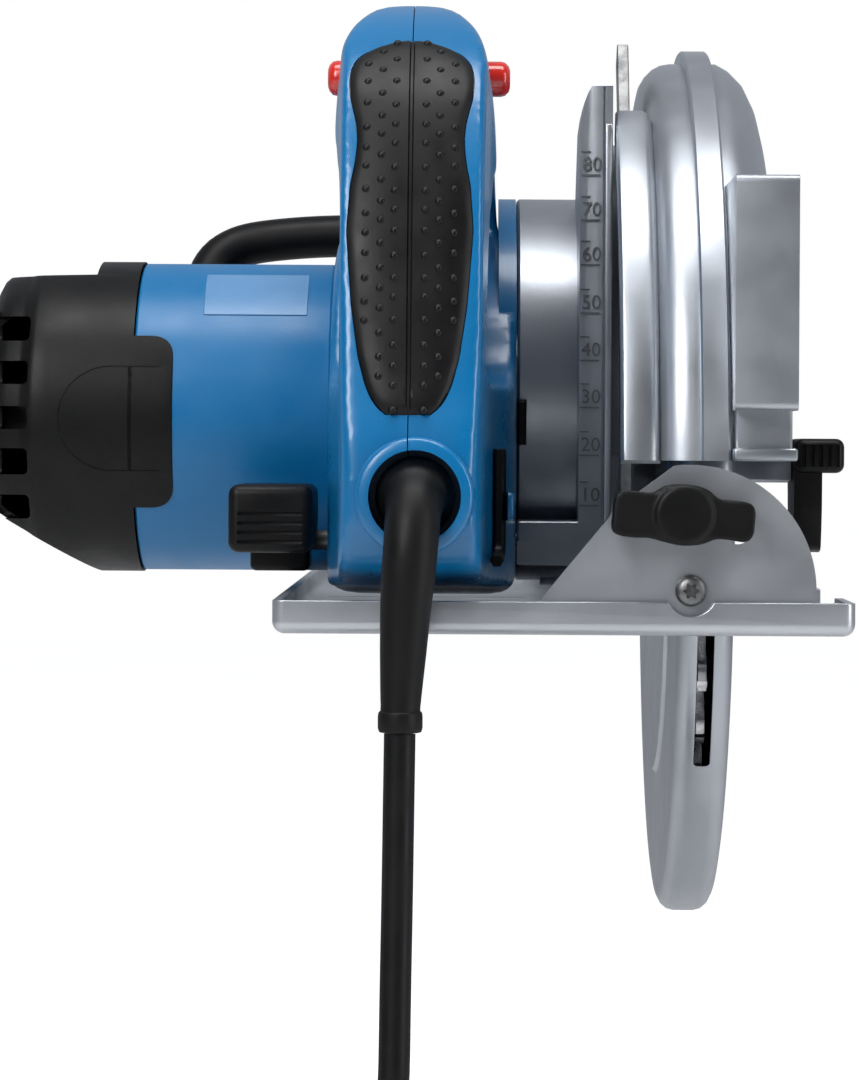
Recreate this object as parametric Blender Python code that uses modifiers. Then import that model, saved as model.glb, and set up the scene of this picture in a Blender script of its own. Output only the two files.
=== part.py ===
"""Corded circular saw, 235 mm class, at full depth with the lower guard closed.

Frame: X to the right seen from behind, Y forward (the cutting direction), Z up.
The origin is the centre of the base plate's sole. Sizes below are in millimetres.
"""

import math

import bmesh
import bpy
from mathutils import Matrix, Vector

MM = 0.001
GAP = 0.3

# Base plate
BASE_LENGTH = 383.0
BASE_WIDTH = 160.0
BASE_SHEET = 2.5
BASE_RIM = 9.2
SLOT_X0, SLOT_X1 = 12.0, 68.0

# Bevel hinge
BEVEL_X, BEVEL_Z = 34.8, 12.4
BEVEL_SLOT_R = 20.6
WING_ANGLE = -7.0
QUADRANT_SHEET = 2.5
QUADRANT_Y = -(BASE_LENGTH / 2 - BASE_SHEET - GAP)
BRACKET_SHEET = 4.0

# Depth hinge
DEPTH_Y, DEPTH_Z = 150.0, 25.0
ARC_R0, ARC_R1 = 256.0, 266.0
ARC_X0, ARC_X1 = 18.2, 21.7
ARC_TOP, ARC_FOOT = 145.6, 183.0

# Blade and guards
BLADE_X, BLADE_Y, BLADE_Z = 41.0, -36.0, 35.0
BLADE_R = 117.5
BLADE_SHEET = 2.4
LOWER_R = BLADE_R + 11.0
LOWER_HALF = 8.0
SLOT_REAR, SLOT_FRONT = BLADE_Y - LOWER_R - 0.5, BLADE_Y + LOWER_R + 19.5
LOWER_SHEET = 1.8
DRUM_R = LOWER_R + 8.5
DRUM_WALL = 3.0
DRUM_X0, DRUM_X1 = 25.6, 62.4
DRUM_BOTTOM = 48.0
SPINDLE_R = 7.0
GUARD_STEPS = 36

# Motor
MOTOR_Y, MOTOR_Z = -36.0, 60.4
MOTOR_R = 48.2
MOTOR_WALL = 3.0
MOTOR_X0, MOTOR_X1 = -132.6, -68.5
CAP_X0 = -173.7
GEAR_R, GEAR_Z = 60.0, 69.6
CASE_X0, CASE_X1 = -12.0, 15.6

# Handle
HANDLE_X = -42.9
HANDLE_X0, HANDLE_X1 = -68.2, -12.3
HANDLE_WALL = 2.8
GRIP_HALF = 17.0

# Cord
CORD_D = 8.8
COIL_R = 52.0
COIL_DEEP, COIL_WIDE = 13.8, 18.3
COIL_CENTRE = Vector((-26.0, -206.0, -203.2))

BLUE = (0.012, 0.115, 0.42)
BLACK = (0.015, 0.015, 0.016)
SILVER = (0.50, 0.52, 0.55)
STEEL = (0.55, 0.56, 0.58)
COPPER = (0.60, 0.27, 0.12)
RED = (0.60, 0.02, 0.015)
ZINC = (0.42, 0.43, 0.44)

for old in list(bpy.data.objects):
    bpy.data.objects.remove(old, do_unlink=True)
SAW = bpy.data.collections.new("circular_saw")
bpy.context.scene.collection.children.link(SAW)
TOOLS = bpy.data.collections.new("cutters")
bpy.context.scene.collection.children.link(TOOLS)
TOOLS.hide_render = True


# ---- helpers ----

def material(name, colour, rough, metal):
    found = bpy.data.materials.new(name)
    found.use_nodes = True
    shader = found.node_tree.nodes["Principled BSDF"]
    shader.inputs["Base Color"].default_value = (*colour, 1.0)
    shader.inputs["Roughness"].default_value = rough
    shader.inputs["Metallic"].default_value = metal
    return found


FINISH = {
    "blue": (BLUE, 0.35, 0.0),
    "black": (BLACK, 0.5, 0.0),
    "rubber": (BLACK, 0.7, 0.0),
    "cast": (SILVER, 0.38, 0.8),
    "steel": (STEEL, 0.28, 1.0),
    "zinc": (ZINC, 0.45, 1.0),
    "copper": (COPPER, 0.4, 1.0),
    "red": (RED, 0.3, 0.0),
    "blade": (STEEL, 0.3, 1.0),
    "brown": ((0.20, 0.11, 0.05), 0.6, 0.0),
    "carbon": ((0.03, 0.03, 0.03), 0.8, 0.0),
}


def made(name, mesh):
    found = bpy.data.objects.new(name, mesh)
    TOOLS.objects.link(found)
    return found


def from_bmesh(name, bm):
    bmesh.ops.recalc_face_normals(bm, faces=bm.faces)
    mesh = bpy.data.meshes.new(name)
    bm.to_mesh(mesh)
    bm.free()
    return made(name, mesh)


def baked(obj):
    """The object with its modifiers and its curve turned into a plain mesh at the origin."""
    bpy.context.view_layer.update()
    graph = bpy.context.evaluated_depsgraph_get()
    mesh = bpy.data.meshes.new_from_object(obj.evaluated_get(graph), depsgraph=graph)
    mesh.transform(obj.matrix_world)
    name = obj.name
    bpy.data.objects.remove(obj, do_unlink=True)
    bm = bmesh.new()
    bm.from_mesh(mesh)
    bmesh.ops.remove_doubles(bm, verts=bm.verts, dist=1e-6)
    bmesh.ops.recalc_face_normals(bm, faces=bm.faces)
    bm.to_mesh(mesh)
    bm.free()
    return made(name, mesh)


def box(name, xs, ys, zs, round_by=0.0, steps=1):
    bm = bmesh.new()
    bmesh.ops.create_cube(bm, size=1.0)
    size = Vector((xs[1] - xs[0], ys[1] - ys[0], zs[1] - zs[0]))
    middle = Vector((sum(xs), sum(ys), sum(zs))) / 2
    bmesh.ops.scale(bm, vec=size * MM, verts=bm.verts)
    bmesh.ops.translate(bm, vec=middle * MM, verts=bm.verts)
    found = from_bmesh(name, bm)
    if round_by:
        found = bevelled(found, round_by, steps)
    return found


def bevelled(obj, width, steps=1, angle=40):
    mod = obj.modifiers.new("round", "BEVEL")
    mod.width = width * MM
    mod.segments = steps
    mod.limit_method = "ANGLE"
    mod.angle_limit = math.radians(angle)
    return baked(obj)


TURN = {
    "X": Matrix.Rotation(math.radians(90), 4, "Y"),
    "Y": Matrix.Rotation(math.radians(-90), 4, "X"),
    "Z": Matrix.Identity(4),
}


def cylinder(name, axis, centre, radius, a, b, verts=24, radius_b=None):
    """A cylinder or cone along one axis, from a to b on it; centre is the other two coordinates."""
    bm = bmesh.new()
    second = radius if radius_b is None else radius_b
    bmesh.ops.create_cone(bm, cap_ends=True, segments=verts, radius1=radius * MM,
                          radius2=second * MM, depth=(b - a) * MM)
    bmesh.ops.transform(bm, matrix=TURN[axis], verts=bm.verts)
    middle = (a + b) / 2
    place = {
        "X": Vector((middle, centre[0], centre[1])),
        "Y": Vector((centre[0], middle, centre[1])),
        "Z": Vector((centre[0], centre[1], middle)),
    }[axis]
    bmesh.ops.translate(bm, vec=place * MM, verts=bm.verts)
    return from_bmesh(name, bm)


def turned(name, axis, place, profile, steps=32):
    """A turned solid: profile is [(radius, along)], closed on the axis or as a ring."""
    mesh = bpy.data.meshes.new(name)
    points = [(r * MM, 0.0, t * MM) for r, t in profile]
    count = len(points)
    ring = all(r > 0.01 for r, _ in profile)
    edges = [(i, i + 1) for i in range(count - 1)]
    if ring:
        edges.append((count - 1, 0))
    mesh.from_pydata(points, edges, [])
    found = made(name, mesh)
    screw = found.modifiers.new("turn", "SCREW")
    screw.axis = "Z"
    screw.steps = steps
    screw.render_steps = steps
    screw.use_merge_vertices = True
    screw.merge_threshold = 1e-5
    found.matrix_world = Matrix.Translation(Vector(place) * MM) @ TURN[axis]
    return baked(found)


def outline(name, plane, points, a, b, holes=()):
    """A flat outline, a 2D curve filled and extruded from a to b along the third axis."""
    curve = bpy.data.curves.new(name, "CURVE")
    curve.dimensions = "2D"
    curve.fill_mode = "BOTH"
    curve.extrude = (b - a) / 2 * MM
    for ring in (points, *holes):
        line = curve.splines.new("POLY")
        line.points.add(len(ring) - 1)
        for point, (u, v) in zip(line.points, ring):
            point.co = (u * MM, v * MM, 0.0, 1.0)
        line.use_cyclic_u = True
    found = bpy.data.objects.new(name, curve)
    TOOLS.objects.link(found)
    middle = (a + b) / 2 * MM
    found.matrix_world = {
        # u is Y and v is Z
        "X": Matrix(((0, 0, 1, middle), (1, 0, 0, 0), (0, 1, 0, 0), (0, 0, 0, 1))),
        # u is X and v is Z
        "Y": Matrix(((1, 0, 0, 0), (0, 0, -1, middle), (0, 1, 0, 0), (0, 0, 0, 1))),
        # u is X and v is Y
        "Z": Matrix(((1, 0, 0, 0), (0, 1, 0, 0), (0, 0, 1, middle), (0, 0, 0, 1))),
    }[plane]
    return baked(found)


def wire(name, points, radius, resolution=2, radii=None):
    """A round bar along points, a POLY curve with a bevel."""
    curve = bpy.data.curves.new(name, "CURVE")
    curve.dimensions = "3D"
    curve.bevel_depth = radius * MM
    curve.bevel_resolution = resolution
    curve.use_fill_caps = True
    line = curve.splines.new("POLY")
    line.points.add(len(points) - 1)
    for index, (point, place) in enumerate(zip(line.points, points)):
        point.co = (place[0] * MM, place[1] * MM, place[2] * MM, 1.0)
        point.radius = radii[index] if radii else 1.0
    found = bpy.data.objects.new(name, curve)
    TOOLS.objects.link(found)
    return baked(found)


def combine(obj, tools, how):
    for tool in tools if isinstance(tools, (list, tuple)) else [tools]:
        mod = obj.modifiers.new("bool", "BOOLEAN")
        mod.operation = how
        mod.solver = "EXACT"
        mod.object = tool
        tool.hide_render = True
        obj = baked(obj)
        bpy.data.objects.remove(tool, do_unlink=True)
    return obj


def cut(obj, *tools):
    return combine(obj, tools, "DIFFERENCE")


def join(obj, *tools):
    return combine(obj, tools, "UNION")


def meet(obj, tool):
    return combine(obj, [tool], "INTERSECT")


def arc(centre, radius, start, end, count):
    """Points on a circle in a plane, from one angle to another in degrees."""
    found = []
    for i in range(count + 1):
        angle = math.radians(start + (end - start) * i / count)
        found.append((centre[0] + radius * math.cos(angle), centre[1] + radius * math.sin(angle)))
    return found


def smooth_path(points, count):
    """Evenly spread points on a Catmull-Rom curve through the given ones."""
    pts = [Vector(p) for p in points]
    pts = [2 * pts[0] - pts[1], *pts, 2 * pts[-1] - pts[-2]]
    fine = []
    for i in range(1, len(pts) - 2):
        p0, p1, p2, p3 = pts[i - 1], pts[i], pts[i + 1], pts[i + 2]
        for k in range(24):
            t = k / 24
            fine.append(0.5 * (2 * p1 + (p2 - p0) * t + (2 * p0 - 5 * p1 + 4 * p2 - p3) * t * t
                               + (3 * p1 - p0 - 3 * p2 + p3) * t ** 3))
    fine.append(pts[-2])
    lengths = [0.0]
    for a, b in zip(fine, fine[1:]):
        lengths.append(lengths[-1] + (b - a).length)
    found = []
    for i in range(count):
        want = lengths[-1] * i / (count - 1)
        k = max(0, min(len(fine) - 2, next((j for j, s in enumerate(lengths) if s > want), len(fine)) - 1))
        span = lengths[k + 1] - lengths[k]
        found.append(fine[k].lerp(fine[k + 1], (want - lengths[k]) / span if span else 0.0))
    return found


def offset(points, by):
    """A counter-clockwise outline moved inwards by a distance (outwards when it is negative)."""
    found = []
    count = len(points)
    for i in range(count):
        a, b, c = (Vector(points[j % count]) for j in (i - 1, i, i + 1))
        first = (b - a).normalized()
        second = (c - b).normalized()
        n1 = Vector((-first.y, first.x))
        n2 = Vector((-second.y, second.x))
        n = (n1 + n2)
        scale = by / max(0.35, (1 + n1.dot(n2)))
        found.append(tuple(b + n * scale))
    return found


BODIES = {}


def body(name, place, axis_owner=None):
    """An empty on a moving piece's joint axis, the parent of its nodes."""
    found = bpy.data.objects.new(name + "_axis", None)
    found.location = Vector(place) * MM
    SAW.objects.link(found)
    if axis_owner:
        found.parent = BODIES[axis_owner]
        found.matrix_parent_inverse = BODIES[axis_owner].matrix_world.inverted()
    bpy.context.view_layer.update()
    BODIES[name] = found
    return found


def finish(obj, name, owner, look):
    """Names a finished piece, gives it its material and parents it to its moving body."""
    obj.name = name
    obj.data.name = name
    TOOLS.objects.unlink(obj)
    SAW.objects.link(obj)
    obj.data.materials.clear()
    obj.data.materials.append(material(name, *FINISH[look]))
    parent = BODIES[owner]
    origin = parent.matrix_world.translation.copy()
    obj.data.transform(Matrix.Translation(-origin))
    obj.parent = parent
    return obj


body("base", (0, 0, 0))
body("tilt_frame", (BEVEL_X, 0, BEVEL_Z), "base")
body("saw_body", (BLADE_X, DEPTH_Y, DEPTH_Z), "tilt_frame")
body("spindle", (BLADE_X, BLADE_Y, BLADE_Z), "saw_body")
body("armature", (-100, MOTOR_Y, MOTOR_Z), "saw_body")
body("lower_guard", (BLADE_X, BLADE_Y, BLADE_Z), "saw_body")

# ---- base plate and the bevel quadrants ----

HALF_L = BASE_LENGTH / 2
HALF_W = BASE_WIDTH / 2

plate = box("plate", (-HALF_W, HALF_W), (-HALF_L, HALF_L), (0, 40), 3.4, 3)
plate = cut(plate, box("top", (-HALF_W - 5, HALF_W + 5), (-HALF_L - 5, HALF_L + 5), (BASE_RIM, 60)))
inside = box("inside", (-HALF_W + BASE_SHEET, HALF_W - BASE_SHEET),
             (-HALF_L + BASE_SHEET, HALF_L - BASE_SHEET), (BASE_SHEET, 40), 2.0, 1)
plate = cut(plate, inside)
plate = cut(plate, box("slot", (SLOT_X0, SLOT_X1), (SLOT_REAR, SLOT_FRONT), (-5, 5), 0))
LEVER_Y0, LEVER_Y1 = -155.0, -88.0
plate = cut(plate, box("lever_slot", (SLOT_X1 - 4, HALF_W + 5), (LEVER_Y0, LEVER_Y1), (-5, 20)),
            cylinder("rear_notch", "Y", (BEVEL_X, BEVEL_Z), 7.0, -HALF_L - 5, -HALF_L + BASE_SHEET + 0.2, 24),
            box("fence_slot", (-HALF_W + 8, -HALF_W + 30), (120, 124), (-5, 5)))
finish(plate, "base_plate", "base", "cast")


def quadrant(name, y0, y1, foot_y0, foot_y1):
    cx, cz = BEVEL_X, BEVEL_Z
    right = arc((cx, cz), 34.5, -5, 98, 14)
    ring = [(-7.0, BASE_SHEET + 2.0), (cx + 34.4, BASE_SHEET + 2.0), *right, (14.5, 35.0), (-7.0, 9.0)]
    found = outline(name, "Y", ring, y0, y1)
    wide = 3.3
    low = arc((cx, cz), BEVEL_SLOT_R - wide, 90 - WING_ANGLE + 1, 90 - WING_ANGLE - 46, 10)
    high = arc((cx, cz), BEVEL_SLOT_R + wide, 90 - WING_ANGLE - 46, 90 - WING_ANGLE + 1, 10)
    far = math.radians(90 - WING_ANGLE - 46)
    near = math.radians(90 - WING_ANGLE + 1)
    far_c = (cx + BEVEL_SLOT_R * math.cos(far), cz + BEVEL_SLOT_R * math.sin(far))
    near_c = (cx + BEVEL_SLOT_R * math.cos(near), cz + BEVEL_SLOT_R * math.sin(near))
    slot = outline("slot", "Y", [*low, *high], y0 - 2, y1 + 2)
    found = cut(found, slot, cylinder("e1", "Y", far_c, wide, y0 - 2, y1 + 2, 16),
                cylinder("e2", "Y", near_c, wide, y0 - 2, y1 + 2, 16),
                cylinder("e3", "Y", (cx, cz), 3.2, y0 - 2, y1 + 2, 16))
    foot = box("foot", (-5, 10), (min(foot_y0, foot_y1), max(foot_y0, foot_y1)),
               (BASE_SHEET + GAP, BASE_SHEET + GAP + 2.4))
    return join(found, foot)


rear_q = quadrant("rear_q", QUADRANT_Y, QUADRANT_Y + QUADRANT_SHEET, QUADRANT_Y + 1.9, QUADRANT_Y + 22)
finish(rear_q, "rear_quadrant", "base", "cast")
FRONT_Y = -QUADRANT_Y - 12
front_q = quadrant("front_q", FRONT_Y - QUADRANT_SHEET, FRONT_Y, FRONT_Y - 1, FRONT_Y + 10)
finish(front_q, "front_quadrant", "base", "cast")


def pivot_screw(name, seat, way):
    """A pan-head screw whose head sits outside seat; way is -1 for a head to the rear, 1 to the front."""
    head = [(0.0, 0.0), (2.9, 0.0), (2.9, 15.0), (4.4, 15.0), (4.4, 16.6), (3.4, 17.5), (1.6, 17.8),
            (1.4, 16.4), (0.0, 16.4)]
    ring = [(r, t * way) for r, t in head]
    if way > 0:
        ring = ring[::-1]
    return turned(name, "Y", (BEVEL_X, seat - 15.0 * way, BEVEL_Z), ring, 12)


finish(pivot_screw("rs", QUADRANT_Y - GAP, -1), "rear_pivot_screw", "base", "zinc")
finish(pivot_screw("fs", FRONT_Y + GAP, 1), "front_pivot_screw", "base", "zinc")

# ---- tilting frame ----

REAR_B0 = QUADRANT_Y + QUADRANT_SHEET + GAP
REAR_B1 = REAR_B0 + BRACKET_SHEET
WING_X = BEVEL_X + BEVEL_SLOT_R * math.sin(math.radians(WING_ANGLE))
WING_Z = BEVEL_Z + BEVEL_SLOT_R * math.cos(math.radians(WING_ANGLE))


def tilt_plate(name, y0, y1, left):
    cx, cz = BEVEL_X, BEVEL_Z
    ring = [*arc((cx, cz), 9.0, -120, 0, 6), *arc((cx, WING_Z), 9.0, 0, 120, 6),
            (left + 4, 32.0), (left, 27.0), (left, 13.0), (left + 6, 8.0)]
    found = outline(name, "Y", ring, y0, y1)
    return cut(found, cylinder("p", "Y", (cx, cz), 3.2, y0 - 2, y1 + 2, 16),
               cylinder("w", "Y", (WING_X, WING_Z), 3.3, y0 - 2, y1 + 2, 16))


rear_bracket = tilt_plate("rb", REAR_B0, REAR_B1, 14.0)
strap = box("strap", (14.0, ARC_X0 - GAP), (REAR_B1 - 1, DEPTH_Y - ARC_R1 + 5.5), (8.0, 20.0))
rear_bracket = join(rear_bracket, strap)
finish(rear_bracket, "rear_bracket", "tilt_frame", "zinc")

bar = [*arc((DEPTH_Y, DEPTH_Z), ARC_R1, ARC_TOP, ARC_FOOT, 20),
       *arc((DEPTH_Y, DEPTH_Z), ARC_R0, ARC_FOOT, ARC_TOP, 20)]
finish(outline("arc", "X", bar, ARC_X0, ARC_X1), "depth_arc", "tilt_frame", "zinc")

FRONT_B1 = FRONT_Y - QUADRANT_SHEET - GAP
FRONT_B0 = FRONT_B1 - BRACKET_SHEET
front_bracket = tilt_plate("fb", FRONT_B0, FRONT_B1, -2.0)
LUG = outline("lug", "X", [(FRONT_B0 + 2, 14.0), (FRONT_B0 + 2, 34.0),
                           *arc((DEPTH_Y, DEPTH_Z), 9.0, 90, 270, 8)], -2.0, 20.0)
LUG = cut(LUG, box("gap", (1.8, 16.2), (DEPTH_Y - 20, DEPTH_Y + 10.2), (0, 50)))
front_bracket = join(front_bracket, LUG)
front_bracket = cut(front_bracket, cylinder("pin", "X", (DEPTH_Y, DEPTH_Z), 4.3, -10, 30, 20))
finish(front_bracket, "front_bracket", "tilt_frame", "zinc")
finish(turned("pin", "X", (0, DEPTH_Y, DEPTH_Z),
              [(0.0, 22.6), (6.0, 22.6), (6.0, 20.3), (4.0, 20.3), (4.0, -5.0), (0.0, -5.0)], 14),
       "depth_pivot_pin", "tilt_frame", "steel")


def wing_bolt(name, seat, way, depth):
    """Two-lobed knob on a stud: seat is the quadrant's outer face."""
    lobe = [(-19.3, -6.5), (-17.0, -8.0), (-9.0, -8.0), (-4.0, -9.0),
            (4.0, -9.0), (9.0, -6.3), (17.5, -6.6), (19.3, -4.5),
            (19.3, 4.0), (17.5, 5.5), (9.0, 5.5), (4.0, 9.0), (-4.0, 9.0), (-9.0, 5.5),
            (-17.5, 5.5), (-19.3, 4.0)]
    lobe = [(WING_X + u * 0.995 + v * 0.09, WING_Z + 0.6 + v * 0.95 - u * 0.09) for u, v in lobe]
    start, end = sorted((seat + 3.6 * way, seat + 13.0 * way))
    knob = outline(name, "Y", lobe, start, end)
    start, end = sorted((seat + 0.3 * way, seat + 6.0 * way))
    knob = join(knob, cylinder("hub", "Y", (WING_X, WING_Z), 7.0, start, end, 20))
    start, end = sorted((seat + 3.0 * way, seat - depth * way))
    return join(knob, cylinder("stud", "Y", (WING_X, WING_Z), 3.0, start, end, 16))


body("rear_wing_bolt", (WING_X, QUADRANT_Y, WING_Z), "tilt_frame")
body("front_wing_bolt", (WING_X, FRONT_Y, WING_Z), "tilt_frame")
finish(wing_bolt("rw", QUADRANT_Y, -1, 9.0), "rear_wing_bolt", "rear_wing_bolt", "black")
finish(wing_bolt("fw", FRONT_Y, 1, 9.0), "front_wing_bolt", "front_wing_bolt", "black")

# ---- upper guard ----

AX = (BLADE_Y, BLADE_Z)
shoulder = 9.0
profile = [(0.0, DRUM_X1), (DRUM_R - 24, DRUM_X1), (DRUM_R - 9, DRUM_X1 - 3.2),
           (DRUM_R, DRUM_X1 - 13.0),
           (DRUM_R, BLADE_X + 5.4), (DRUM_R + 4, BLADE_X + 5.4), (DRUM_R + 4, BLADE_X - 2.6),
           (DRUM_R, BLADE_X - 2.6), (DRUM_R, DRUM_X0 + 8), (DRUM_R - 3, DRUM_X0 + 3.4), (DRUM_R - 9, DRUM_X0),
           (0.0, DRUM_X0)]
guard = turned("drum", "X", (0, *AX), profile, GUARD_STEPS)
inner = [(0.0, DRUM_X1 - 2.6), (DRUM_R - 25, DRUM_X1 - 2.6), (DRUM_R - 11, DRUM_X1 - 6.0),
         (DRUM_R - DRUM_WALL, DRUM_X1 - 15.0),
         (DRUM_R - DRUM_WALL, DRUM_X0 + 9.4), (DRUM_R - 12.0, DRUM_X0 + 3.2), (0.0, DRUM_X0 + 3.2)]
guard = cut(guard, box("below", (0, 90), (-250, 200), (-200, DRUM_BOTTOM)))
# A rim on the left of the drum's rear half, over the depth arc
rim = outline("rim", "X", [*arc(AX, DRUM_R - 1, 121, 174.5, 8), *arc(AX, DRUM_R - 11, 174.0, 121, 8)],
              16.4, DRUM_X0 + 1.5)
guard = join(guard, rim)
# Chip outlet on the rear of the right half
OUT_X0, OUT_X1 = 46.9, 64.4
outlet = box("outlet", (OUT_X0, OUT_X1), (-186, -120), (62, 127), 1.2)
outlet_low = box("outlet_low", (OUT_X0 + 0.6, OUT_X1 - 0.8), (-176, -120), (DRUM_BOTTOM + 2, 66))
lip = box("lip", (OUT_X0, OUT_X1 + 0.4), (-180, -120), (DRUM_BOTTOM, DRUM_BOTTOM + 3.6))
guard = join(guard, outlet, outlet_low, lip)
# Arm to the depth pivot
arm = outline("arm", "X", [(40, 58), (62, 40), (110, 14), *arc((DEPTH_Y, DEPTH_Z), 9.0, -90, 90, 8),
                           (118, 46), (88, 98), (40, 112)], 2.4, 15.6)
web = outline("web", "X", [(46, 60), (62, 49), (88, 49), (86, 84), (62, 104), (46, 104)], 14.0, DRUM_X0 + 2)
guard = join(guard, arm, web)
guard = cut(guard, turned("hollow", "X", (0, *AX), inner, GUARD_STEPS))
# The duct is open below, and the lever's track is open through the right wall
guard = cut(guard, box("duct", (OUT_X0 + 2.4, OUT_X1 - 2.4), (-183.0, -128), (68, 122)),
            box("duct_low", (OUT_X0 + 2.4, OUT_X1 - 2.4), (-173.4, -128), (40, 72)),
            cylinder("pin", "X", (DEPTH_Y, DEPTH_Z), 4.3, -10, 30, 20),
            outline("track", "X", [*arc(AX, 112.5, 62, 180, 14), *arc(AX, 91.0, 180, 62, 14)],
                    DRUM_X1 - 5.6, DRUM_X1 + 8),
            outline("arc_way", "X", [*arc((DEPTH_Y, DEPTH_Z), ARC_R1 + GAP, ARC_TOP - 1, 215, 24),
                                     *arc((DEPTH_Y, DEPTH_Z), ARC_R0 - GAP, 215, ARC_TOP - 1, 24)],
                    ARC_X0 - GAP, ARC_X1 + GAP),
            outline("throat", "X", [*arc(AX, 28.0, 0, 360, 20)[:-1]], 0, DRUM_X0 + 3.8))
finish(guard, "upper_guard", "saw_body", "cast")

# ---- gear case ----

case = cylinder("case", "X", (BLADE_Y, GEAR_Z), GEAR_R, CASE_X0, CASE_X1 - 2.4, 32)
boss = cylinder("boss", "X", AX, 27.0, -4.0, DRUM_X0 - 1.0, 20)
nose = cylinder("nose", "X", AX, 19.0, 20.0, BLADE_X - LOWER_HALF - 0.4 + 2.4, 20)
case = join(case, boss, nose)
SCALE_TOP = 159.0
SCALE_X0 = 6.0
scale = outline("scale", "X", [(-112, 26), (-60, 40), (-50, 100), (-58, 128), (-80, 146), (-100, SCALE_TOP),
                               (-107, SCALE_TOP + 1), (-111, SCALE_TOP - 3)], SCALE_X0, CASE_X1)
scale = meet(scale, outline("shoulder", "Y", [(SCALE_X0, 20), (CASE_X1, 20), (CASE_X1, 158.6), (12.6, 158.0),
                                              (9.6, 155.4), (7.4, 150.6), (SCALE_X0, 143.0)], -120, 0))
# A web behind the scale plate closes the gap to the drum, clear of the depth arc
web = outline("web2", "X", [(-92, 50), (-60, 50), (-52, 100), (-60, 130), (-72, 144), (-88, 100)], CASE_X1 - 1.6,
              DRUM_X0 - 0.4)
case = join(case, scale, web)
CLAMP_Y, CLAMP_Z = -100.0, 23.4
clamp_boss = box("cb", (CASE_X0, CASE_X1), (CLAMP_Y - 10, CLAMP_Y + 24), (CLAMP_Z - 6.9, CLAMP_Z + 6.2), 0.8)
clamp_boss = cut(clamp_boss, box("step", (-20, 20), (CLAMP_Y - 12, CLAMP_Y - 8), (0, CLAMP_Z + 0.2)))
case = join(case, clamp_boss)
LOCK_X, LOCK_Z0, LOCK_Z1 = -10.7, 52.4, 65.4
# Inside: the gear chamber, open to the motor side, the bearing seats and the rod's bore
chamber = outline("chamber", "X", [*arc((BLADE_Y, GEAR_Z), GEAR_R - 5, 20, 160, 12),
                                   *arc(AX, 23.0, 180, 360, 8)], CASE_X0 - 2, 9.0)
case = cut(case, chamber,
           cylinder("s1", "X", AX, 15.3, -10, 24.3, 20),
           cylinder("s2", "X", AX, 9.0, 20, 60, 12),
           cylinder("rod", "X", (CLAMP_Y, CLAMP_Z), 3.4, -40, 40, 12),
           box("lock", (LOCK_X - 1.5, LOCK_X + 1.5), (-110, -78), (LOCK_Z0 - 0.3, LOCK_Z1 + 0.3)))
finish(case, "gear_case", "saw_body", "cast")

# ---- motor ----

ring = [(MOTOR_R, MOTOR_X1), (MOTOR_R, MOTOR_X0), (MOTOR_R - MOTOR_WALL, MOTOR_X0),
        (MOTOR_R - MOTOR_WALL, MOTOR_X1)]
barrel = turned("barrel", "X", (0, MOTOR_Y, MOTOR_Z), ring, 32)
finish(barrel, "motor_housing", "saw_body", "blue")

cap_x1 = MOTOR_X0 - GAP
ring = [(0.0, CAP_X0), (MOTOR_R - 8.2, CAP_X0), (MOTOR_R - 3.7, CAP_X0 + 4), (MOTOR_R - 1.6, CAP_X0 + 12), (MOTOR_R + 0.6, -148.0),
        (MOTOR_R + 0.6, cap_x1), (MOTOR_R - 2.4, cap_x1), (MOTOR_R - 2.4, -146.0), (MOTOR_R - 4.2, CAP_X0 + 12),
        (MOTOR_R - 10.2, CAP_X0 + 3.0), (0.0, CAP_X0 + 3.0)]
cap = turned("cap", "X", (0, MOTOR_Y, MOTOR_Z), ring[::-1], 28)
seat = cylinder("seat", "X", (MOTOR_Y, MOTOR_Z), 17.5, CAP_X0 + 1, -154.0, 16)
cap = join(cap, seat)
cap = cut(cap, cylinder("bore", "X", (MOTOR_Y, MOTOR_Z), 11.4, -163.6, -150, 16))
SLOTS = ((83.0, 90.6), (69.7, 76.8), (56.0, 63.0), (42.2, 50.2), (28.6, 36.0))
for low, high in SLOTS:
    cap = cut(cap, box("slot", (CAP_X0 - 5, -160.5), (-120, -62), (low, high)))
finish(cap, "motor_cap", "saw_body", "black")

# ---- handle ----

OUTER = [(-186, 16), (-150, 12), (-100, 9), (-60, 6), (-20, 6), (8, 22), (16, 48), (14, 78), (6, 100),
         (-2, 118), (-16, 140), (-38, 160), (-66, 174), (-94, 181), (-122, 180.5), (-146, 172),
         (-166, 155), (-180, 130), (-189, 100), (-195, 70), (-199, 54), (-200, 38), (-197, 24)]
HOLE = [(-154, 76), (-130, 70), (-106, 74), (-92, 92), (-76, 106), (-56, 114), (-48, 122), (-54, 134),
        (-72, 142), (-98, 147), (-120, 144), (-138, 130), (-149, 108)]
FRONT = [(HANDLE_X0, 5), (HANDLE_X1, 5), (HANDLE_X1, 112), (-18.0, 118), (-19.6, 150), (-22.6, 166),
         (-25.2, 172), (-31, 178.4), (-37, 180.8), (-43, 181.4), (-49, 180.8), (-55, 178.4), (-60.4, 172),
         (-63.0, 166), (-65.6, 150), (-66.4, 118), (HANDLE_X0, 112)]
PLAN = [(-61.6, -206), (-23.4, -206), (-21.0, -146), (HANDLE_X1, -118), (HANDLE_X1, 40), (HANDLE_X0, 40),
        (HANDLE_X0, -118), (-63.4, -146)]
SPLIT = -42.9


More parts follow.
